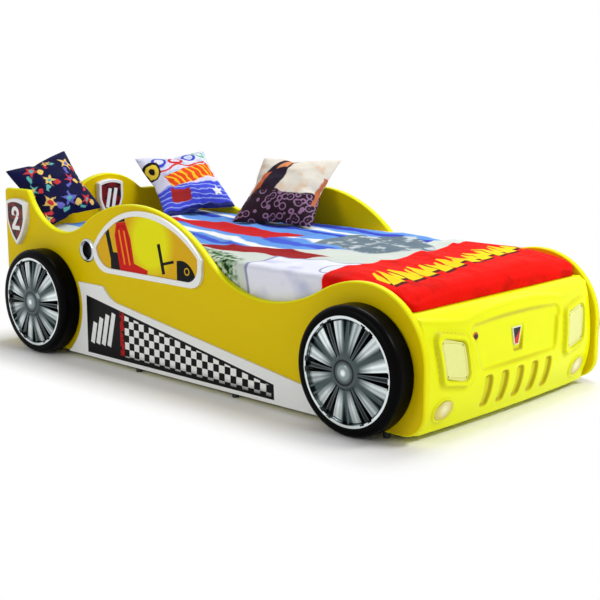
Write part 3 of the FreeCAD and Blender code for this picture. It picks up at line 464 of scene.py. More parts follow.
def window_print():
    """Side window: a generic cabin of like colours, with a seat, a wheel and a dash."""
    s = Surface("window_print", rgb(226, 178, 20), rough=0.25, vary=0.02)
    x, z = s.x, s.z
    lines = (z / 0.0064).fraction().op("LESS_THAN", 0.25)
    s.layer(lines * 0.35, rgb(200, 150, 10))
    glow = disc(x, z, -0.150, 0.470, 0.105)
    s.layer((0.5 - glow / 0.05).clamped(), rgb(236, 232, 10))
    # posts behind the seat
    for cx, cz, half_x, half_z, angle in (
            (-0.372, 0.452, 0.007, 0.052, 16), (-0.352, 0.372, 0.010, 0.042, 0),
            (-0.328, 0.372, 0.010, 0.042, 0)):
        s.paint(block(x, z, cx, cz, half_x, half_z, angle) - 0.004, INK)
    back = convex(x, z, [(-0.300, 0.340), (-0.236, 0.336), (-0.262, 0.470), (-0.286, 0.520),
                         (-0.322, 0.514), (-0.330, 0.478)]) - 0.010
    base = convex(x, z, [(-0.300, 0.336), (-0.176, 0.344), (-0.172, 0.366),
                         (-0.250, 0.384)]) - 0.008
    s.paint(back.least(base), rgb(206, 22, 14))
    s.paint((back + 0.014).size().most(0.40 - z) - 0.0014, rgb(120, 8, 8))
    for cx in (-0.302, -0.274):
        s.paint(block(x, z, cx, 0.440, 0.003, 0.060, 14) - 0.001, rgb(244, 140, 20))
    # head rest, steering wheel with its column, dash with its dial
    s.paint(block(x, z, -0.312, 0.545, 0.020, 0.010, 10) - 0.008, INK)
    s.paint(block(x, z, -0.092, 0.420, 0.002, 0.046, 14) - 0.006, INK)
    s.paint(block(x, z, -0.058, 0.410, 0.032, 0.005, 14), INK)
    s.paint(disc(x, z, 0.010, 0.352, 0.074).most(-x - 0.012), INK)
    s.paint(disc(x, z, 0.038, 0.392, 0.011).band(0.002), rgb(226, 178, 20))
    s.grain(300.0, 1.0, 0.00003)
    return s.done(Specular_IOR_Level=0.08)


# ---------------- CAD nodes and their finishes
FINISH = {
    "side_panel_": lacquered_board("lacquer_side", 1),
    "headboard": lacquered_board("lacquer_head", 0),
    "footboard": lacquered_board("lacquer_foot", 0),
    "side_rail_": timber("rail_timber", rgb(196, 160, 110), 0),
    "centre_beam": timber("beam_timber", rgb(196, 160, 110), 0),
    "beam_leg_": timber("leg_timber", rgb(190, 150, 100), 2),
    "beam_shoes": steel("shoe_steel"),
    "corner_angles": steel("angle_steel"),
    "slats": timber("slat_timber", rgb(214, 182, 134), 1),
    "slat_straps": plastic("strap_webbing", rgb(205, 200, 188), rough=0.9, grain=0.0003),
    "tyre_": tyre_rubber(),
    "hub_cap_": silver_cap(),
    "bumper_shell": bumper_gloss(),
    "headlight_lens_": lens_frosted(),
    "fog_lens_": fog_frosted(),
    "switch_bezel": plastic("bezel_orange", rgb(214, 96, 20)),
    "light_button": plastic("button_black", rgb(30, 22, 22), rough=0.25),
    "badge_plate": badge_print(),
    "lamp_module_": plastic("module_dark", rgb(40, 40, 44), rough=0.5),
    "battery_box": plastic("battery_dark", rgb(36, 36, 38), rough=0.5),
    "sill_plate_": sill_print(),
    "window_frame_": plastic("frame_white", PAPER, vary=0.01),
    "window_board_": window_print(),
    "filler_ring_": plastic("ring_chrome", rgb(190, 196, 200), rough=0.14, Metallic=1.0),
    "filler_cup_": plastic("cup_black", rgb(22, 18, 18)),
    "shield_side": shield_print("number"),
    "shield_head": shield_print("bars"),
    "panel_glides": plastic("glide_black", rgb(24, 24, 24), rough=0.5),
}
for node_name, node_object in NODES.items():
    for start, material in FINISH.items():
        if node_name.startswith(start):
            if not node_object.material_slots:
                node_object.data.materials.append(material)
            for item in node_object.material_slots:
                item.material = material


# ---------------- meshes
def added(name, data):
    """New object in the scene."""
    made = bpy.data.objects.new(name, data)
    SCENE.collection.objects.link(made)
    return made


def mesh_piece(name, points, faces, material, replaced=(), uv=None):
    """Smooth mesh that rides on the bed and the nodes that it replaces."""
    mesh = bpy.data.meshes.new(name)
    mesh.from_pydata([tuple(point) for point in points], [], [tuple(face) for face in faces])
    mesh.materials.append(material)
    if uv is not None:
        layer = mesh.uv_layers.new(name="flat")
        for loop in mesh.loops:
            layer.data[loop.index].uv = uv[loop.vertex_index]
    mesh.shade_smooth()
    piece = added(name, mesh)
    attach(piece, BODY)
    if replaced:
        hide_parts(*replaced)
    return piece


def grid_faces(rows, columns):
    return [(r * columns + c, r * columns + c + 1, (r + 1) * columns + c + 1,
             (r + 1) * columns + c) for r in range(rows - 1) for c in range(columns - 1)]


def remade(piece, kind, **settings):
    """Give a piece one modifier and apply it."""
    modifier = piece.modifiers.new(kind, kind)
    for name, value in settings.items():
        setattr(modifier, name, value)
    bpy.context.view_layer.objects.active = piece
    piece.select_set(True)
    bpy.ops.object.modifier_apply(modifier=modifier.name)
    piece.select_set(False)


# ---------------- bumper moulding
def arc_run(start, end, radius, count):
    """Points along the arc that bulges to the right of the way from start to end."""
    start, end = np.array(start, float), np.array(end, float)
    chord = end - start
    reach = sqrt(radius ** 2 - chord @ chord / 4)
    left = np.array((-chord[1], chord[0])) / np.linalg.norm(chord)
    centre = (start + end) / 2 + left * reach
    low = atan2(*(start - centre)[::-1])
    high = atan2(*(end - centre)[::-1])
    return [centre + radius * np.array((cos(a), sin(a)))
            for a in np.linspace(low, high, count)]


def face_run(bow):
    """Section (x, z) of the moulding's face in mm, from its foot up to the ledge under the quilt:
    a straight chin, the belly and the brow. The corner between chin and belly is softened."""
    foot, belly = (978 + 0.64 * bow, FOOT_Z), (1006 + bow, 110)
    brow, ledge = (995 + bow, 305), (956, LEDGE_Z)
    run = list(np.linspace(foot, belly, 31))
    run += arc_run(belly, brow, 704, 66)[1:]
    run += arc_run(brow, ledge, 85, 26)[1:]
    run = np.array(run)
    soft, reach = run.copy(), 12
    for index in range(18, 48):
        soft[index] = run[index - reach:index + reach + 1].mean(0)
    return soft


def face_relief(y, z, x):
    """How far the moulded face stands off its plain sweep, in mm, and how much painted shade its
    slots get.
    """
    places, folded = np.column_stack((y, z)), np.column_stack((np.abs(y), z))

    # ridge along the brow, which dips over the lamps
    ridge = [(0, 353), (120, 349), (215, 339), (262, 331), (330, 337), (470, 356)]
    ridge = np.array([(-a, b) for a, b in ridge[:0:-1]] + ridge, float)
    far = np.min([segment_gap(places, a, b) for a, b in zip(ridge[:-1], ridge[1:])], axis=0)
    out = 4.6 * np.exp(-(far / 7.5) ** 2)

    # sunk middle field, whose floor comes forward towards its foot
    arch = [(-205, 168), (205, 168), (240, 309)]
    arch += [(240 * cos(a), 309 + 20 * sin(a)) for a in np.linspace(0.25, 2.9, 14)]
    arch += [(-240, 309)]
    floor = BROW_X - 17 + 22 * (349 - z) / 191
    out -= np.maximum(x - floor, 0) * ease(3, -15, rounded(places, arch, 22))

    # slots of the chin
    pitch, half, low, high = 82, 21, 52, 157
    slot_shade = np.zeros(len(y))
    for middle in (pitch * index for index in range(-2, 3)):
        left, right = middle - half, middle + half
        slot = rounded(places, [(left, low), (right, low), (right, high), (left, high)], 14)
        out -= 10.0 * ease(1, -11, slot)
        # painted shade in the slots
        slot_shade += 0.42 * ease(1, -6, slot)

    # frames of the headlights, with a crease round them, and of the fog lamps
    frame_edge = rounded(folded, LAMP, 28)
    lens_edge = rounded(folded, shrunk(LAMP, LENS_INSET), 20)
    out += 11.0 * ease(3, -8, frame_edge) * ease(-1.5, 3.5, lens_edge)
    out -= 1.6 * np.exp(-((frame_edge - 6) / 3.5) ** 2)
    fog_edge = 33 * (np.hypot((folded[:, 0] - 367) / 38, (z - 84) / 30) - 1)
    out += 5.0 * ease(11, 5, fog_edge) * ease(-2.0, 2.0, fog_edge)

    # sides drawn back, and a fine bead along the foot
    out -= 3.5 * ease(446, BUMP_Y, folded[:, 0])
    out += 0.5 * np.exp(-((z - 24) / 4.0) ** 2)

    # flat seats of the badge and of the button
    badge = away(places, [(-22, 205), (22, 205), (42, 285), (-42, 285)])
    out -= np.maximum(x + out - (BROW_X - 11), 0) * ease(1.5, -3.0, badge)
    button = np.hypot(y + 215, z - 279) - 13.5
    out -= np.maximum(x + out - (BROW_X - 9.8), 0) * ease(2.5, -0.5, button)
    return out, slot_shade


def bumper_skin(material):
    """Thermoformed front: one skin with its lamp frames, sunk field, slots, seats and creases."""
    across = np.linspace(-BUMP_Y, BUMP_Y, 330)
    side_run, middle_run = face_run(0.0), face_run(BELLY_BOW)
    foot = [(x, FOOT_Z) for x in (949.0, 958.0, 966.0, 973.0)]
    back = [(x, LEDGE_Z) for x in (954.5, 951.0, 945.0, 939.0, 933.4)]
    rows, heights, slot_shades = [], [], []
    for y in across:
        run = side_run + (middle_run - side_run) * (1 - (y / BUMP_Y) ** 2)
        step = np.gradient(run, axis=0)
        out = np.column_stack((step[:, 1], -step[:, 0]))
        out /= np.linalg.norm(out, axis=1)[:, None]
        height, slot_shade = face_relief(np.full(len(run), y), run[:, 1], run[:, 0])
        height *= ease(LEDGE_Z + 0.5, 356, run[:, 1])
        heights.append(height)
        slot_shades.append(slot_shade)
        whole = foot + [tuple(place) for place in run + out * height[:, None]] + back
        rows.append([(x / 1000, y / 1000, z / 1000) for x, z in whole])
    count = len(rows[0])
    faces = [face[::-1] for face in grid_faces(len(rows), count)]
    last = (len(rows) - 1) * count
    faces += [range(count), range(last + count - 1, last - 1, -1)]
    piece = mesh_piece("bumper_skin", [point for row in rows for point in row], faces, material,
                       ("bumper_shell",))
    heights, run_step = np.array(heights), 3.0
    slope = np.hypot(*np.gradient(heights, across[1] - across[0], run_step))
    # painted shade: deeper yellow in the slots and on the slopes of the relief, less on raised parts
    shade = np.array(slot_shades) + 0.95 * ease(0.10, 1.5, slope) * np.where(heights < 0.5, 1.0, 0.42)
    recess_shade = np.zeros((len(rows), count))
    recess_shade[:, len(foot):-len(back)] = shade
    piece.data.attributes.new("recess_shade", "FLOAT", "POINT").data.foreach_set(
        "value", recess_shade.ravel().astype(np.float32))
    remade(piece, "SOLIDIFY", thickness=0.003, offset=-1)


# ---------------- quilt and mattress
def cloth(surface, weave=900.0, depth=0.00012, wrinkle=0.0):
    """Woven relief and a faint sheen for a printed cloth."""
    threads = surface.wave(weave, "X") * surface.wave(weave, "Y")
    surface.relief(threads, depth)
    surface.grain(60.0, 3.0, depth * 3)
    if wrinkle:
        surface.grain(11.0, 3.0, wrinkle)
    return surface.done(Specular_IOR_Level=0.06, Sheen_Weight=0.03, Sheen_Roughness=0.4)


def quilt_print():
    """Generic quilt print: blue and white bands, red wedges, grass, a pale round field and a red
    foot part with a row of yellow flames."""
    s = Surface("quilt_print", rgb(214, 222, 214), rough=0.75, space="uv")
    drift = (s.noise(2.6, 3.0) - 0.5) * 0.10
    ripple = (s.noise(9.0, 2.0) - 0.5) * 0.03
    x, y = s.x + ripple, s.y + drift + ripple
    band = y + x * 0.16
    head = convex(x, y, [(-1.2, -0.30), (0.10, -0.26), (0.42, 0.02), (0.50, 0.80),
                         (-1.2, 0.80)]).inside(0.004)
    s.layer(head, rgb(98, 152, 226))
    for level, width, color in ((0.36, 0.028, rgb(52, 66, 190)), (0.26, 0.020, PAPER),
                                (0.19, 0.022, rgb(44, 58, 186)), (0.05, 0.020, PAPER),
                                (-0.02, 0.020, rgb(66, 92, 208)), (-0.13, 0.026, PAPER),
                                (-0.20, 0.020, rgb(60, 84, 200)), (0.47, 0.030, PAPER)):
        s.layer(head * (band - level).band(width).inside(0.012), color)
    for corners, color in (
            ([(-0.80, 0.10), (-0.05, -0.03), (-0.01, 0.13), (-0.60, 0.17)], rgb(196, 24, 28)),
            ([(-0.16, -0.32), (0.36, -0.28), (0.40, -0.17), (0.05, -0.15)], rgb(150, 14, 20)),
            ([(-0.95, -0.16), (-0.45, -0.17), (-0.40, -0.10), (-0.95, -0.06)],
             rgb(170, 20, 24))):
        s.paint(convex(x, y, corners), color, 0.006)
    grey = convex(x, y, [(0.16, 0.00), (0.44, -0.04), (0.60, 0.16), (0.34, 0.36),
                         (0.14, 0.22)]).inside(0.01)
    s.layer(grey, rgb(104, 122, 134))
    s.layer(grey * s.noise(16.0, 4.0).above(0.52, 12.0), rgb(196, 206, 210))
    lawn = convex(x, y, [(-0.35, -0.62), (0.26, -0.62), (0.22, -0.40), (0.02, -0.33),
                         (-0.35, -0.33)]).inside(0.03)
    blades = s.noise(46.0, 3.0)
    s.layer(lawn * blades.above(0.40, 9.0), rgb(96, 140, 84))
    s.layer(lawn * blades.above(0.52, 14.0), rgb(24, 52, 30))
    pale = block(x, y, 0.50, -0.44, 0.14, 0.11, 6) - 0.075
    s.paint(pale, rgb(234, 236, 250), 0.006)
    s.paint(pale.band(0.006), rgb(150, 156, 186), 0.004)
    s.paint(disc(x, y, 0.60, -0.36, 0.052).band(0.004), rgb(160, 166, 200), 0.004)
    s.layer(pale.inside(0.006) * s.noise(7.0, 2.0).above(0.55, 5.0), rgb(196, 200, 232))
    foot = convex(x, y, [(0.66, -0.70), (1.3, -0.70), (1.3, 0.70), (0.24, 0.70), (0.30, 0.40),
                         (0.56, 0.14)])
    foot = foot.least(convex(x, y, [(0.64, -0.70), (1.3, -0.70), (1.3, 0.20), (0.57, 0.12),
                                    (0.58, -0.10)])).inside(0.004)
    s.layer(foot, rgb(240, 12, 0))
    # painted shade of folds: darker red patches on the red foot part
    s.layer(foot * s.noise(8.5, 4.0).above(0.54, 7.0) * 0.55, rgb(176, 6, 2))
    along = s.y + 0.012 + ripple
    lean = s.x - 0.752 + along * 0.10
    for shift, color in ((0.013, rgb(84, 8, 6)), (0.0, rgb(252, 216, 20))):
        s.paint(flame_row(along, lean - shift, shift), color, 0.003)
    return cloth(s, wrinkle=0.009)


def flame_row(along, ahead, shift):
    """Row of four leaning flames that repeats; a shift moves and widens its shadow."""
    pitch, reach = 0.086, 0.40
    row = None
    for offset, height, width, slant in (
            (0.0, 0.062, 0.032, 0.35), (pitch * 0.48, 0.046, 0.026, 0.6),
            (pitch * 1.05, 0.070, 0.030, 0.15), (pitch * 1.52, 0.040, 0.028, 0.5)):
        v = (along + offset + shift * 0.5 + ahead * slant).wrap(pitch * 2).size()
        taper = width / (2.4 * height)
        tongue = (v - width * 0.55 - ahead * taper).most(ahead.size() - height)
        row = tongue if row is None else row.least(tongue)
    return row.most(along.size() - reach) - shift * 0.25


def unit(value):
    return min(1.0, max(0.0, value))


def uneven(*place):
    """Smooth noise from -1 to 1 at a place."""
    return noise.noise(Vector(place))


def measured(run):
    """The points of a run with the length up to each: (x, z, length so far)."""
    out = [(*run[0], 0.0)]
    for (ax, az), (x, z) in zip(run, run[1:]):
        out.append((x, z, out[-1][2] + hypot(x - ax, z - az)))
    return out


def cornered(x, y, corner_x, corner_y, radius):
    """A place past the centre of a round corner, drawn in to the corner's edge."""
    over_x, over_y = abs(x) - corner_x, abs(y) - corner_y
    if over_x > 0 and over_y > 0:
        pull = min(1.0, radius / hypot(over_x, over_y))
        x = copysign(corner_x + over_x * pull, x)
        y = copysign(corner_y + over_y * pull, y)
    return x, y


def droop(x, y, z):
    """How far the soft stack sinks at the foot end and most of all at its two corners."""
    deepest, lowest, thickness = 0.034, 0.374, 0.056
    end, side = unit((x - 0.70) / 0.24), unit((abs(y) - 0.16) / 0.29)
    sink = deepest * end * end * (0.30 + 0.70 * side * side)
    return sink * unit((z - lowest) / thickness)


def quilt_lift(x, y, half):
    """Crown, long folds, creases and small unevenness of the quilt's top."""
    long_fold = uneven(x * 1.7, y * 6.5 + x * 1.1, 0.3)
    crease = uneven(x * 2.6 - y * 1.9, y * 5.2 + x * 2.3, 12.0)
    small = uneven(x * 5.0, y * 11.0, 4.0)
    tiny = uneven(x * 17.0, y * 21.0, 9.0)
    lift = 0.0030 * (1 - (y / half) ** 2)
    lift += 0.0095 * abs(long_fold) ** 0.8 * (1 if long_fold > 0 else -0.40)
    lift += 0.0070 * max(0.0, 1 - abs(crease) * 3.2) ** 2
    lift += 0.0036 * small + 0.0013 * tiny
    return lift


def quilt():
    """Quilt laid over the mattress, down between it and the panels, and over its foot end."""
    top, half, foot = 0.4435, 0.4536, 0.9477
    foot_bend, side_bend, corner = 0.046, 0.020, 0.045
    print_origin = 0.9308
    bend_x = foot - foot_bend
    ahead = [(-0.9250 + 0.007 * (1 - sin(a)), top - 0.011 + 0.011 * cos(a))
             for a in np.radians((90, 60, 30, 0))]
    ahead += [(x, top) for x in np.arange(-0.912, bend_x - 0.001, 0.0085)]
    ahead += [(bend_x + foot_bend * sin(a), top - foot_bend + foot_bend * cos(a))
              for a in np.radians(np.arange(0, 91, 7.5))]
    ahead += [(foot, z) for z in (0.3905, 0.384, 0.378, 0.3733)]
    side = [(half, z) for z in np.arange(0.331, top - side_bend - 0.002, 0.009)]
    side += [(half - side_bend + side_bend * cos(a),
              top - side_bend + side_bend * sin(a)) for a in np.radians(np.arange(0, 91, 15))]
    flat_half = half - 0.0285
    across = side + [(y, top) for y in np.linspace(flat_half, -flat_half, 106)]
    across += [(-y, z) for y, z in side[::-1]]
    path_s, path_t = measured(ahead), measured(across)
    length, width = path_s[-1][2], path_t[-1][2]
    points, flat = [], []
    for x, zs, s in path_s:
        for y, zt, t in path_t:
            z = top - max(top - zs, top - zt)
            inner = unit((half - abs(y) - 0.004) / 0.05) * unit((0.935 - x) / 0.05)
            inner *= 1.0 if zs > top - 0.002 else 0.3
            sway = 0.0
            if z < top - 0.01 and zs <= top - 0.01:
                sway = 0.0016 * uneven(y * 9.0, z * 6.0, 7.0) - 0.0016
            height = z + quilt_lift(x, y, half) * inner - droop(x, y, z)
            px, py = cornered(x, y, foot - corner, half - corner, corner) if x > 0 else (x, y)
            points.append((px + sway, py, height))
            flat.append((s - print_origin, width / 2 - t))
    faces = grid_faces(len(path_s), len(path_t))
    piece = mesh_piece("quilt", points, faces, quilt_print(), ("bedspread",), flat)


def piping(name, path, radius, material):
    """Round cord sewn along a closed, nearly level path."""
    line = [Vector(point) for point in path]
    count, sides = len(line), 8
    points, faces = [], []
    for index, point in enumerate(line):
        along = (line[(index + 1) % count] - line[index - 1]).normalized()
        side = along.cross(Vector((0, 0, 1))).normalized()
        other = along.cross(side)
        for step in range(sides):
            angle = 2 * pi * step / sides
            points.append(point + radius * (cos(angle) * side + sin(angle) * other))
            here, following = index * sides, (index + 1) % count * sides
            turn = (step + 1) % sides
            faces.append((here + step, here + turn, following + turn, following + step))
    mesh_piece(name, points, faces, material)


def mattress_pad():
    """Mattress with a crowned, tufted top and piping round both edges."""
    s = Surface("mattress_ticking", rgb(236, 236, 230), rough=0.8, vary=0.02)
    tufts = (s.x.wrap(0.11) * s.x.wrap(0.11) + s.y.wrap(0.11) * s.y.wrap(0.11)).root()
    s.relief((tufts / 0.05).clamped(), 0.004)
    ticking = cloth(s)
    low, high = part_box("mattress")
    centre, half = (low + high) / 2, (high - low) / 2
    corner, crown, count = 0.05, 0.003, 160
    corner_x, corner_y = half.x - corner, half.y - corner

    # rings from the middle of the top out, down the side and in below: share of the outline, level
    rings = [(0.0, 1.0), (0.55, 1.0), (0.90, 1.0), (0.985, 0.985), (1.0, 0.86), (1.0, 0.60)]
    rings += [(1.0, 0.0)] + [(share, -level) for share, level in rings[::-1]]
    points, faces = [], []
    for share, level in rings:
        for index in range(count):
            angle = 2 * pi * index / count
            c, q = cos(angle), sin(angle)
            reach = 1 / max(abs(c), abs(q))
            x, y = half.x * c * reach, half.y * q * reach
            x, y = cornered(x, y, corner_x, corner_y, corner)
            lift = crown * (1 - share ** 2) * (1 if level > 0 else 0) - crown
            x, y = centre.x + x * share, centre.y + y * share
            z = centre.z + half.z * level + lift
            points.append((x, y, z - droop(x, y, z)))
    for ring in range(len(rings) - 1):
        for index in range(count):
            a, b = ring * count + index, ring * count + (index + 1) % count
            faces.append((a, a + count, b + count, b))
    piece = mesh_piece("mattress_pad", points, faces, ticking, ("mattress",))
    clean = bmesh.new()
    clean.from_mesh(piece.data)
    bmesh.ops.remove_doubles(clean, verts=clean.verts, dist=0.0001)
    bmesh.ops.recalc_face_normals(clean, faces=clean.faces)
    clean.to_mesh(piece.data)
    clean.free()

    cord = plastic("mattress_piping", rgb(206, 212, 220), rough=0.8, grain=0.0002)
    bend = [(corner_x + corner * cos(a), corner_y + corner * sin(a))
            for a in np.radians(np.arange(0, 91, 15))]
    sweep = np.linspace(0.9, -0.9, 31)
    loop = bend + [(half.x * t * 0.94, half.y) for t in sweep]
    loop += [(-x, y) for x, y in bend[::-1]] + [(-half.x, half.y * t * 0.9) for t in sweep]
    loop += [(-x, -y) for x, y in loop]
    for label, z in (("low", low.z + 0.010), ("high", high.z - 0.012)):
        path = [(centre.x + x * 0.9995, centre.y + y * 0.999,
                 z - droop(centre.x + x, centre.y + y, z)) for x, y in loop]
        piping("mattress_piping_" + label, path, 0.0028, cord)


# ---------------- cushions
def inflated(name, side):
    """Two sewn squares blown up as cloth: local points, faces and the flat place of each point."""
    n, frames = 34, 26

    def place(r, c, layer):
        """Grid place of a point; the layers share those of the seam, as layer 0."""
        return r, c, 0 if r in (0, n) or c in (0, n) else layer

    index_of = {}
    points, flat, faces = [], [], []
    for layer in (1, -1):
        for r in range(n + 1):
            for c in range(n + 1):
                key = place(r, c, layer)
                if key not in index_of:
                    index_of[key] = len(points)
                    u, v = c / n * 2 - 1, r / n * 2 - 1
                    puff = 0.010 * (1 - u ** 4) * (1 - v ** 4)
                    points.append((u * side / 2, v * side / 2, key[2] * puff))
                    flat.append((u, v))
    for layer in (1, -1):
        for r in range(n):
            for c in range(n):
                face = [index_of[place(r + up, c + over, layer)]
                        for up, over in ((0, 0), (0, 1), (1, 1), (1, 0))]
                faces.append(face[::layer])
    mesh = bpy.data.meshes.new(name + "_cloth")
    mesh.from_pydata(points, [], faces)
    worker = added(name + "_cloth", mesh)
    modifier = worker.modifiers.new("Cloth", "CLOTH")
    for setting, value in (
            ("quality", 6), ("mass", 0.12), ("tension_stiffness", 22),
            ("compression_stiffness", 10), ("shear_stiffness", 6), ("bending_stiffness", 0.25),
            ("use_pressure", True), ("uniform_pressure_force", 9)):
        setattr(modifier.settings, setting, value)
    modifier.settings.effector_weights.gravity = 0
    modifier.point_cache.frame_end = frames
    for frame_number in range(1, frames + 1):
        SCENE.frame_set(frame_number)
    shape = worker.evaluated_get(bpy.context.evaluated_depsgraph_get()).to_mesh()
    points = [tuple(vertex.co) for vertex in shape.vertices]
    bpy.data.objects.remove(worker)
    SCENE.frame_set(1)
    return points, faces, flat


def cushion(name, node, side, thickness, centre, angles, material, seed):
    """Slack pillow in the place of its solid, the node that it hides: seams drawn in,
    pointed corners, soft folds."""
    points, faces, flat = inflated(name, side * 1.10)
    full, squareness = side * 1.03, 0.55
    cloud = np.array(points)
    cloud -= (cloud.max(0) + cloud.min(0)) / 2
    cloud *= np.array((full, full, thickness * 0.98)) / (cloud.max(0) - cloud.min(0))
    cloud[:, :2] *= 1 - squareness
    cloud[:, :2] += squareness * np.array(flat) * full / 2
    yaw, lean, roll = (radians(a) for a in angles)
    turn = Matrix.Rotation(yaw, 4, "Z") @ Matrix.Rotation(lean, 4, "X")
    turn = turn @ Matrix.Rotation(roll, 4, "Y") @ Matrix.Rotation(radians(90), 4, "X")
    move = Matrix.Translation(Vector(centre)) @ turn
    out = []
    for (x, y, z), (u, v) in zip(cloud, flat):
        spot = Vector((x * 7 + seed, y * 7, z * 3))
        rim = max(abs(u), abs(v))
        bend = 0.014 * uneven(x * 4 + seed, y * 4, 1.0)
        crease = uneven(x * 9 + y * 5 + seed, y * 13, z * 2)
        fold = 0.004 * noise.noise(spot * 2.2) * (1 - 0.6 * rim)
        fold += copysign(0.005 * max(0.0, 1 - abs(crease) * 3) ** 2 * (1 - rim ** 4), z)
        out.append(move @ Vector((x + 0.004 * noise.noise(spot),
                                  y + 0.004 * noise.noise(spot.yxz), z + bend + fold)))
    piece = mesh_piece(name, out, faces, material, (node,), flat)
    remade(piece, "SUBSURF", levels=1, render_levels=1)


def cushion_cloth(surface):
    return cloth(surface, weave=260.0, depth=0.00008)


def navy_print():
    """Stars, dots and dashes strewn on dark blue."""
    s = Surface("navy_print", rgb(18, 20, 62), rough=0.7, space="uv", vary=0.06)
    yellow, pink = rgb(236, 200, 110), rgb(206, 60, 66)
    teal, violet = rgb(96, 178, 176), rgb(104, 104, 196)
    wobble = (s.noise(7.0, 2.0) - 0.5) * 0.14
    u, v = s.x + wobble, s.y - wobble
    for cx, cy, size, first, second, third in (
            (-0.45, 0.62, 0.15, pink, yellow, teal), (0.10, 0.72, 0.10, yellow, teal, pink),
            (0.62, 0.50, 0.15, yellow, pink, violet), (-0.72, 0.10, 0.12, teal, pink, yellow),
            (-0.18, 0.16, 0.13, yellow, pink, teal), (0.38, 0.02, 0.11, pink, yellow, violet),
            (0.80, -0.20, 0.12, yellow, teal, pink), (-0.50, -0.42, 0.16, yellow, violet, pink),
            (0.05, -0.50, 0.17, violet, yellow, teal), (0.55, -0.66, 0.12, pink, yellow, teal),
            (-0.80, -0.78, 0.10, yellow, pink, teal)):
        size *= 1.45
        dash = block(u, v, cx - size * 0.8, cy - size, size * 0.5, size * 0.22, 30 + cy * 80)
        for shape, color in (
                (star(u, v, cx, cy, size, cx * 90), first),
                (disc(u, v, cx + size * 0.9, cy - size * 0.7, size * 0.42), second),
                (dash, third), (disc(u, v, cx, cy, size * 0.30), third)):
            s.paint(shape, color, 0.02)
    return cushion_cloth(s)


def blue_print():
    """Pale sky with rings and a line over a blue ground, and a flame across the middle."""
    s = Surface("blue_print", rgb(222, 222, 244), rough=0.7, space="uv", vary=0.04)
    warp = s.noise(2.2, 3.0) - 0.5
    x, y = s.x + warp * 0.25, s.y + warp * 0.30
    low = (y + 0.25).inside(0.03)
    s.layer(low, rgb(70, 78, 214))
    strokes = (((y + x * 0.08) / 0.13).fraction() - 0.5).band(0.12)
    s.layer(low * strokes.inside(0.10), rgb(150, 170, 240))
    s.layer((y + 0.86).inside(0.03) * 0.9, rgb(30, 34, 90))
    wash = s.noise(4.0, 3.0).above(0.5, 10.0) * (0.1 - y).inside(0.05)
    s.layer(wash * 0.7, rgb(150, 190, 226))
    for cx, cy, radius, color in (
            (-0.52, 0.60, 0.15, rgb(58, 70, 190)), (-0.10, 0.56, 0.15, rgb(206, 40, 44)),
            (0.30, 0.62, 0.14, rgb(58, 70, 190)), (0.66, 0.74, 0.15, rgb(90, 180, 120))):
        s.paint(disc(x, y, cx, cy, radius).band(0.035), color, 0.02)
    line = ((x * 9.0).sine() * 0.05 + y - 0.32).band(0.03)
    s.paint(line.most(x.size() - 0.8), rgb(214, 60, 50), 0.02)
    flame = (block(x, y, 0.10, 0.02, 0.62, 0.14, 9) - 0.06).inside(0.02)
    s.layer(flame, rgb(226, 74, 24))
    licks = (((x * 0.9 + y * 0.5) / 0.17).fraction() - 0.5).band(0.17)
    s.layer(flame * licks.inside(0.06), rgb(250, 190, 40))
    s.paint(disc(x, y, -0.82, 0.42, 0.26), rgb(20, 18, 22), 0.02)
    s.paint(disc(x, y, -0.80, 0.40, 0.14).band(0.05), rgb(230, 200, 60), 0.02)
    s.paint(block(x, y, -0.42, -0.52, 0.20, 0.12, -8) - 0.04, rgb(160, 40, 40), 0.02)
    s.paint(star(x, y, 0.60, -0.52, 0.17, 20), PAPER, 0.02)
    return cushion_cloth(s)


def brown_print():
    """Dark and rust slabs on cream, over a dark ground with mauve pebbles."""
    s = Surface("brown_print", rgb(232, 226, 214), rough=0.7, space="uv")
    warp = s.noise(2.4, 3.0) - 0.5
    x, y = s.x + warp * 0.30, s.y + warp * 0.30
    s.layer(s.noise(3.0, 3.0).above(0.52, 8.0) * 0.5, rgb(226, 186, 146))
    for corners, color in (
            ([(-0.75, -0.30), (-0.10, -0.25), (0.10, 0.85), (-0.30, 0.80)], rgb(38, 28, 44)),
            ([(-0.95, -0.50), (-0.62, -0.50), (-0.35, 0.35), (-0.55, 0.30)], rgb(206, 104, 62)),
            ([(-0.28, 0.40), (-0.05, 0.42), (0.02, 0.86), (-0.16, 0.86)], rgb(214, 136, 88))):
        s.paint(convex(x, y, corners), color, 0.03)
    s.paint(y + 0.18 + (x * 5.0).sine() * 0.06, rgb(44, 28, 40), 0.04)
    cells = s.node("TexVoronoi", Scale=5.5, Vector=s.place)
    spots = Num(s.tree, cells.outputs["Distance"])
    lower = (y + 0.22).inside(0.03)
    s.layer(lower * (spots - 0.42).band(0.07).inside(0.05), rgb(150, 116, 150))
    s.layer(lower * (spots - 0.13).inside(0.06), rgb(96, 66, 92))
    s.paint(block(x, y, 0.90, -0.05, 0.05, 0.40, -4), rgb(190, 110, 70), 0.03)
    return cushion_cloth(s)


bumper_skin(FINISH["bumper_shell"])
quilt()
mattress_pad()
for name, colour, side, thickness, centre, angles, printed, seed in (
        ("cushion_rear", "navy", 0.280, 0.092, (-0.9506, -0.3003, 0.5854), (80, -37.6, -16.2),
         navy_print, 3.0),
        ("cushion_corner", "blue", 0.331, 0.110, (-0.8610, 0.3036, 0.5761), (72.2, -47.2, -6.3),
         blue_print, 11.0),
        ("cushion_side", "brown", 0.350, 0.115, (-0.2900, 0.3338, 0.5733), (13.7, -48.4, -1.0),
         brown_print, 23.0)):
    cushion(name, "cushion_" + colour, side, thickness, centre, angles, printed(), seed)


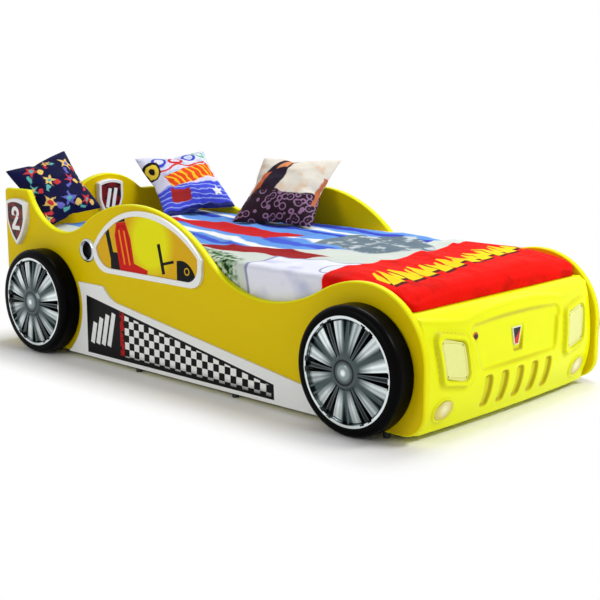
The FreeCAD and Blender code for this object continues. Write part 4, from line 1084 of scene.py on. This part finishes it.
# ---------------- stage, light and camera
def watched(tree):
    """1 for camera, glossy and transmission rays, 0 for the light that falls on things."""
    path = tree.nodes.new("ShaderNodeLightPath")
    camera, glossy, through = (Num(tree, path.outputs[kind]) for kind in (
        "Is Camera Ray", "Is Glossy Ray", "Is Transmission Ray"))
    return camera.most(glossy).most(through)


def shown_by(tree, share, first, second, out):
    """Lead the first shader to an output, and by a share from 0 to 1 the second."""
    node = tree.nodes.new("ShaderNodeMixShader")
    for slot, socket in enumerate((share.socket, first.outputs[0], second.outputs[0])):
        tree.links.new(socket, node.inputs[slot])
    tree.links.new(node.outputs[0], out.inputs[0])


def pale_floor():
    """Floor that keeps the shadow near the bed and shows plain white farther off."""
    bpy.ops.mesh.primitive_grid_add(x_subdivisions=2, y_subdivisions=2, size=24)
    floor = bpy.context.object
    floor.name = "floor"
    floor.location = (0, 0, -0.0005)
    s = Surface("floor_pale", (0.97, 0.97, 0.97, 1.0), rough=0.7, vary=0.0)
    floor.data.materials.append(s.done())
    white = s.node("Emission")
    off_x, off_y = (s.x.size() - 0.95).most(0.0), (s.y.size() - 0.50).most(0.0)
    far = (((off_x * off_x + off_y * off_y).root() - 0.06) / 0.22).clamped()
    shown_by(s.tree, far * watched(s.tree), s.shader, white, s.out)


def pale_world():
    """Soft light all round, and plain white where the world itself is seen."""
    world = bpy.data.worlds.new("studio")
    SCENE.world = world
    world.use_nodes = True
    tree = world.node_tree
    tree.nodes.clear()
    light, seen = (fill(tree, tree.nodes.new("ShaderNodeBackground"), Color=(1, 1, 1, 1),
                        Strength=strength) for strength in (0.36, 1.0))
    shown_by(tree, watched(tree), light, seen, tree.nodes.new("ShaderNodeOutputWorld"))


def soft_lamps():
    for name, place, aim, size, power in (
            ("key", (3.4, 1.3, 3.2), (0.4, 0, 0.2), 1.5, 92),
            ("top", (-0.2, 1.9, 3.9), (0, 0, 0.3), 2.4, 100),
            ("side", (-0.6, -4.4, 1.9), (0, 0, 0.3), 2.2, 42)):
        data = bpy.data.lights.new(name, "AREA")
        data.shape = "RECTANGLE"
        data.size = size
        data.size_y = size * 0.7
        data.energy = power
        lamp = added(name, data)
        lamp.location = place
        lamp.rotation_euler = (Vector(aim) - Vector(place)).to_track_quat("-Z", "Y").to_euler()


def photo_camera():
    """Camera at the photograph's angle, tilted down and turned by degrees."""
    tilt, heading = 10.917, 43.285
    camera = added("camera", bpy.data.cameras.new("camera"))
    camera.location = (2.9873, -3.0713, 1.0503)
    camera.rotation_euler = (radians(90 - tilt), 0, radians(heading))
    camera.data.sensor_width = 36
    camera.data.lens = 71.854
    camera.data.clip_end = 60
    SCENE.camera = camera


pale_floor()
pale_world()
soft_lamps()
photo_camera()
SCENE.view_settings.view_transform = "Standard"
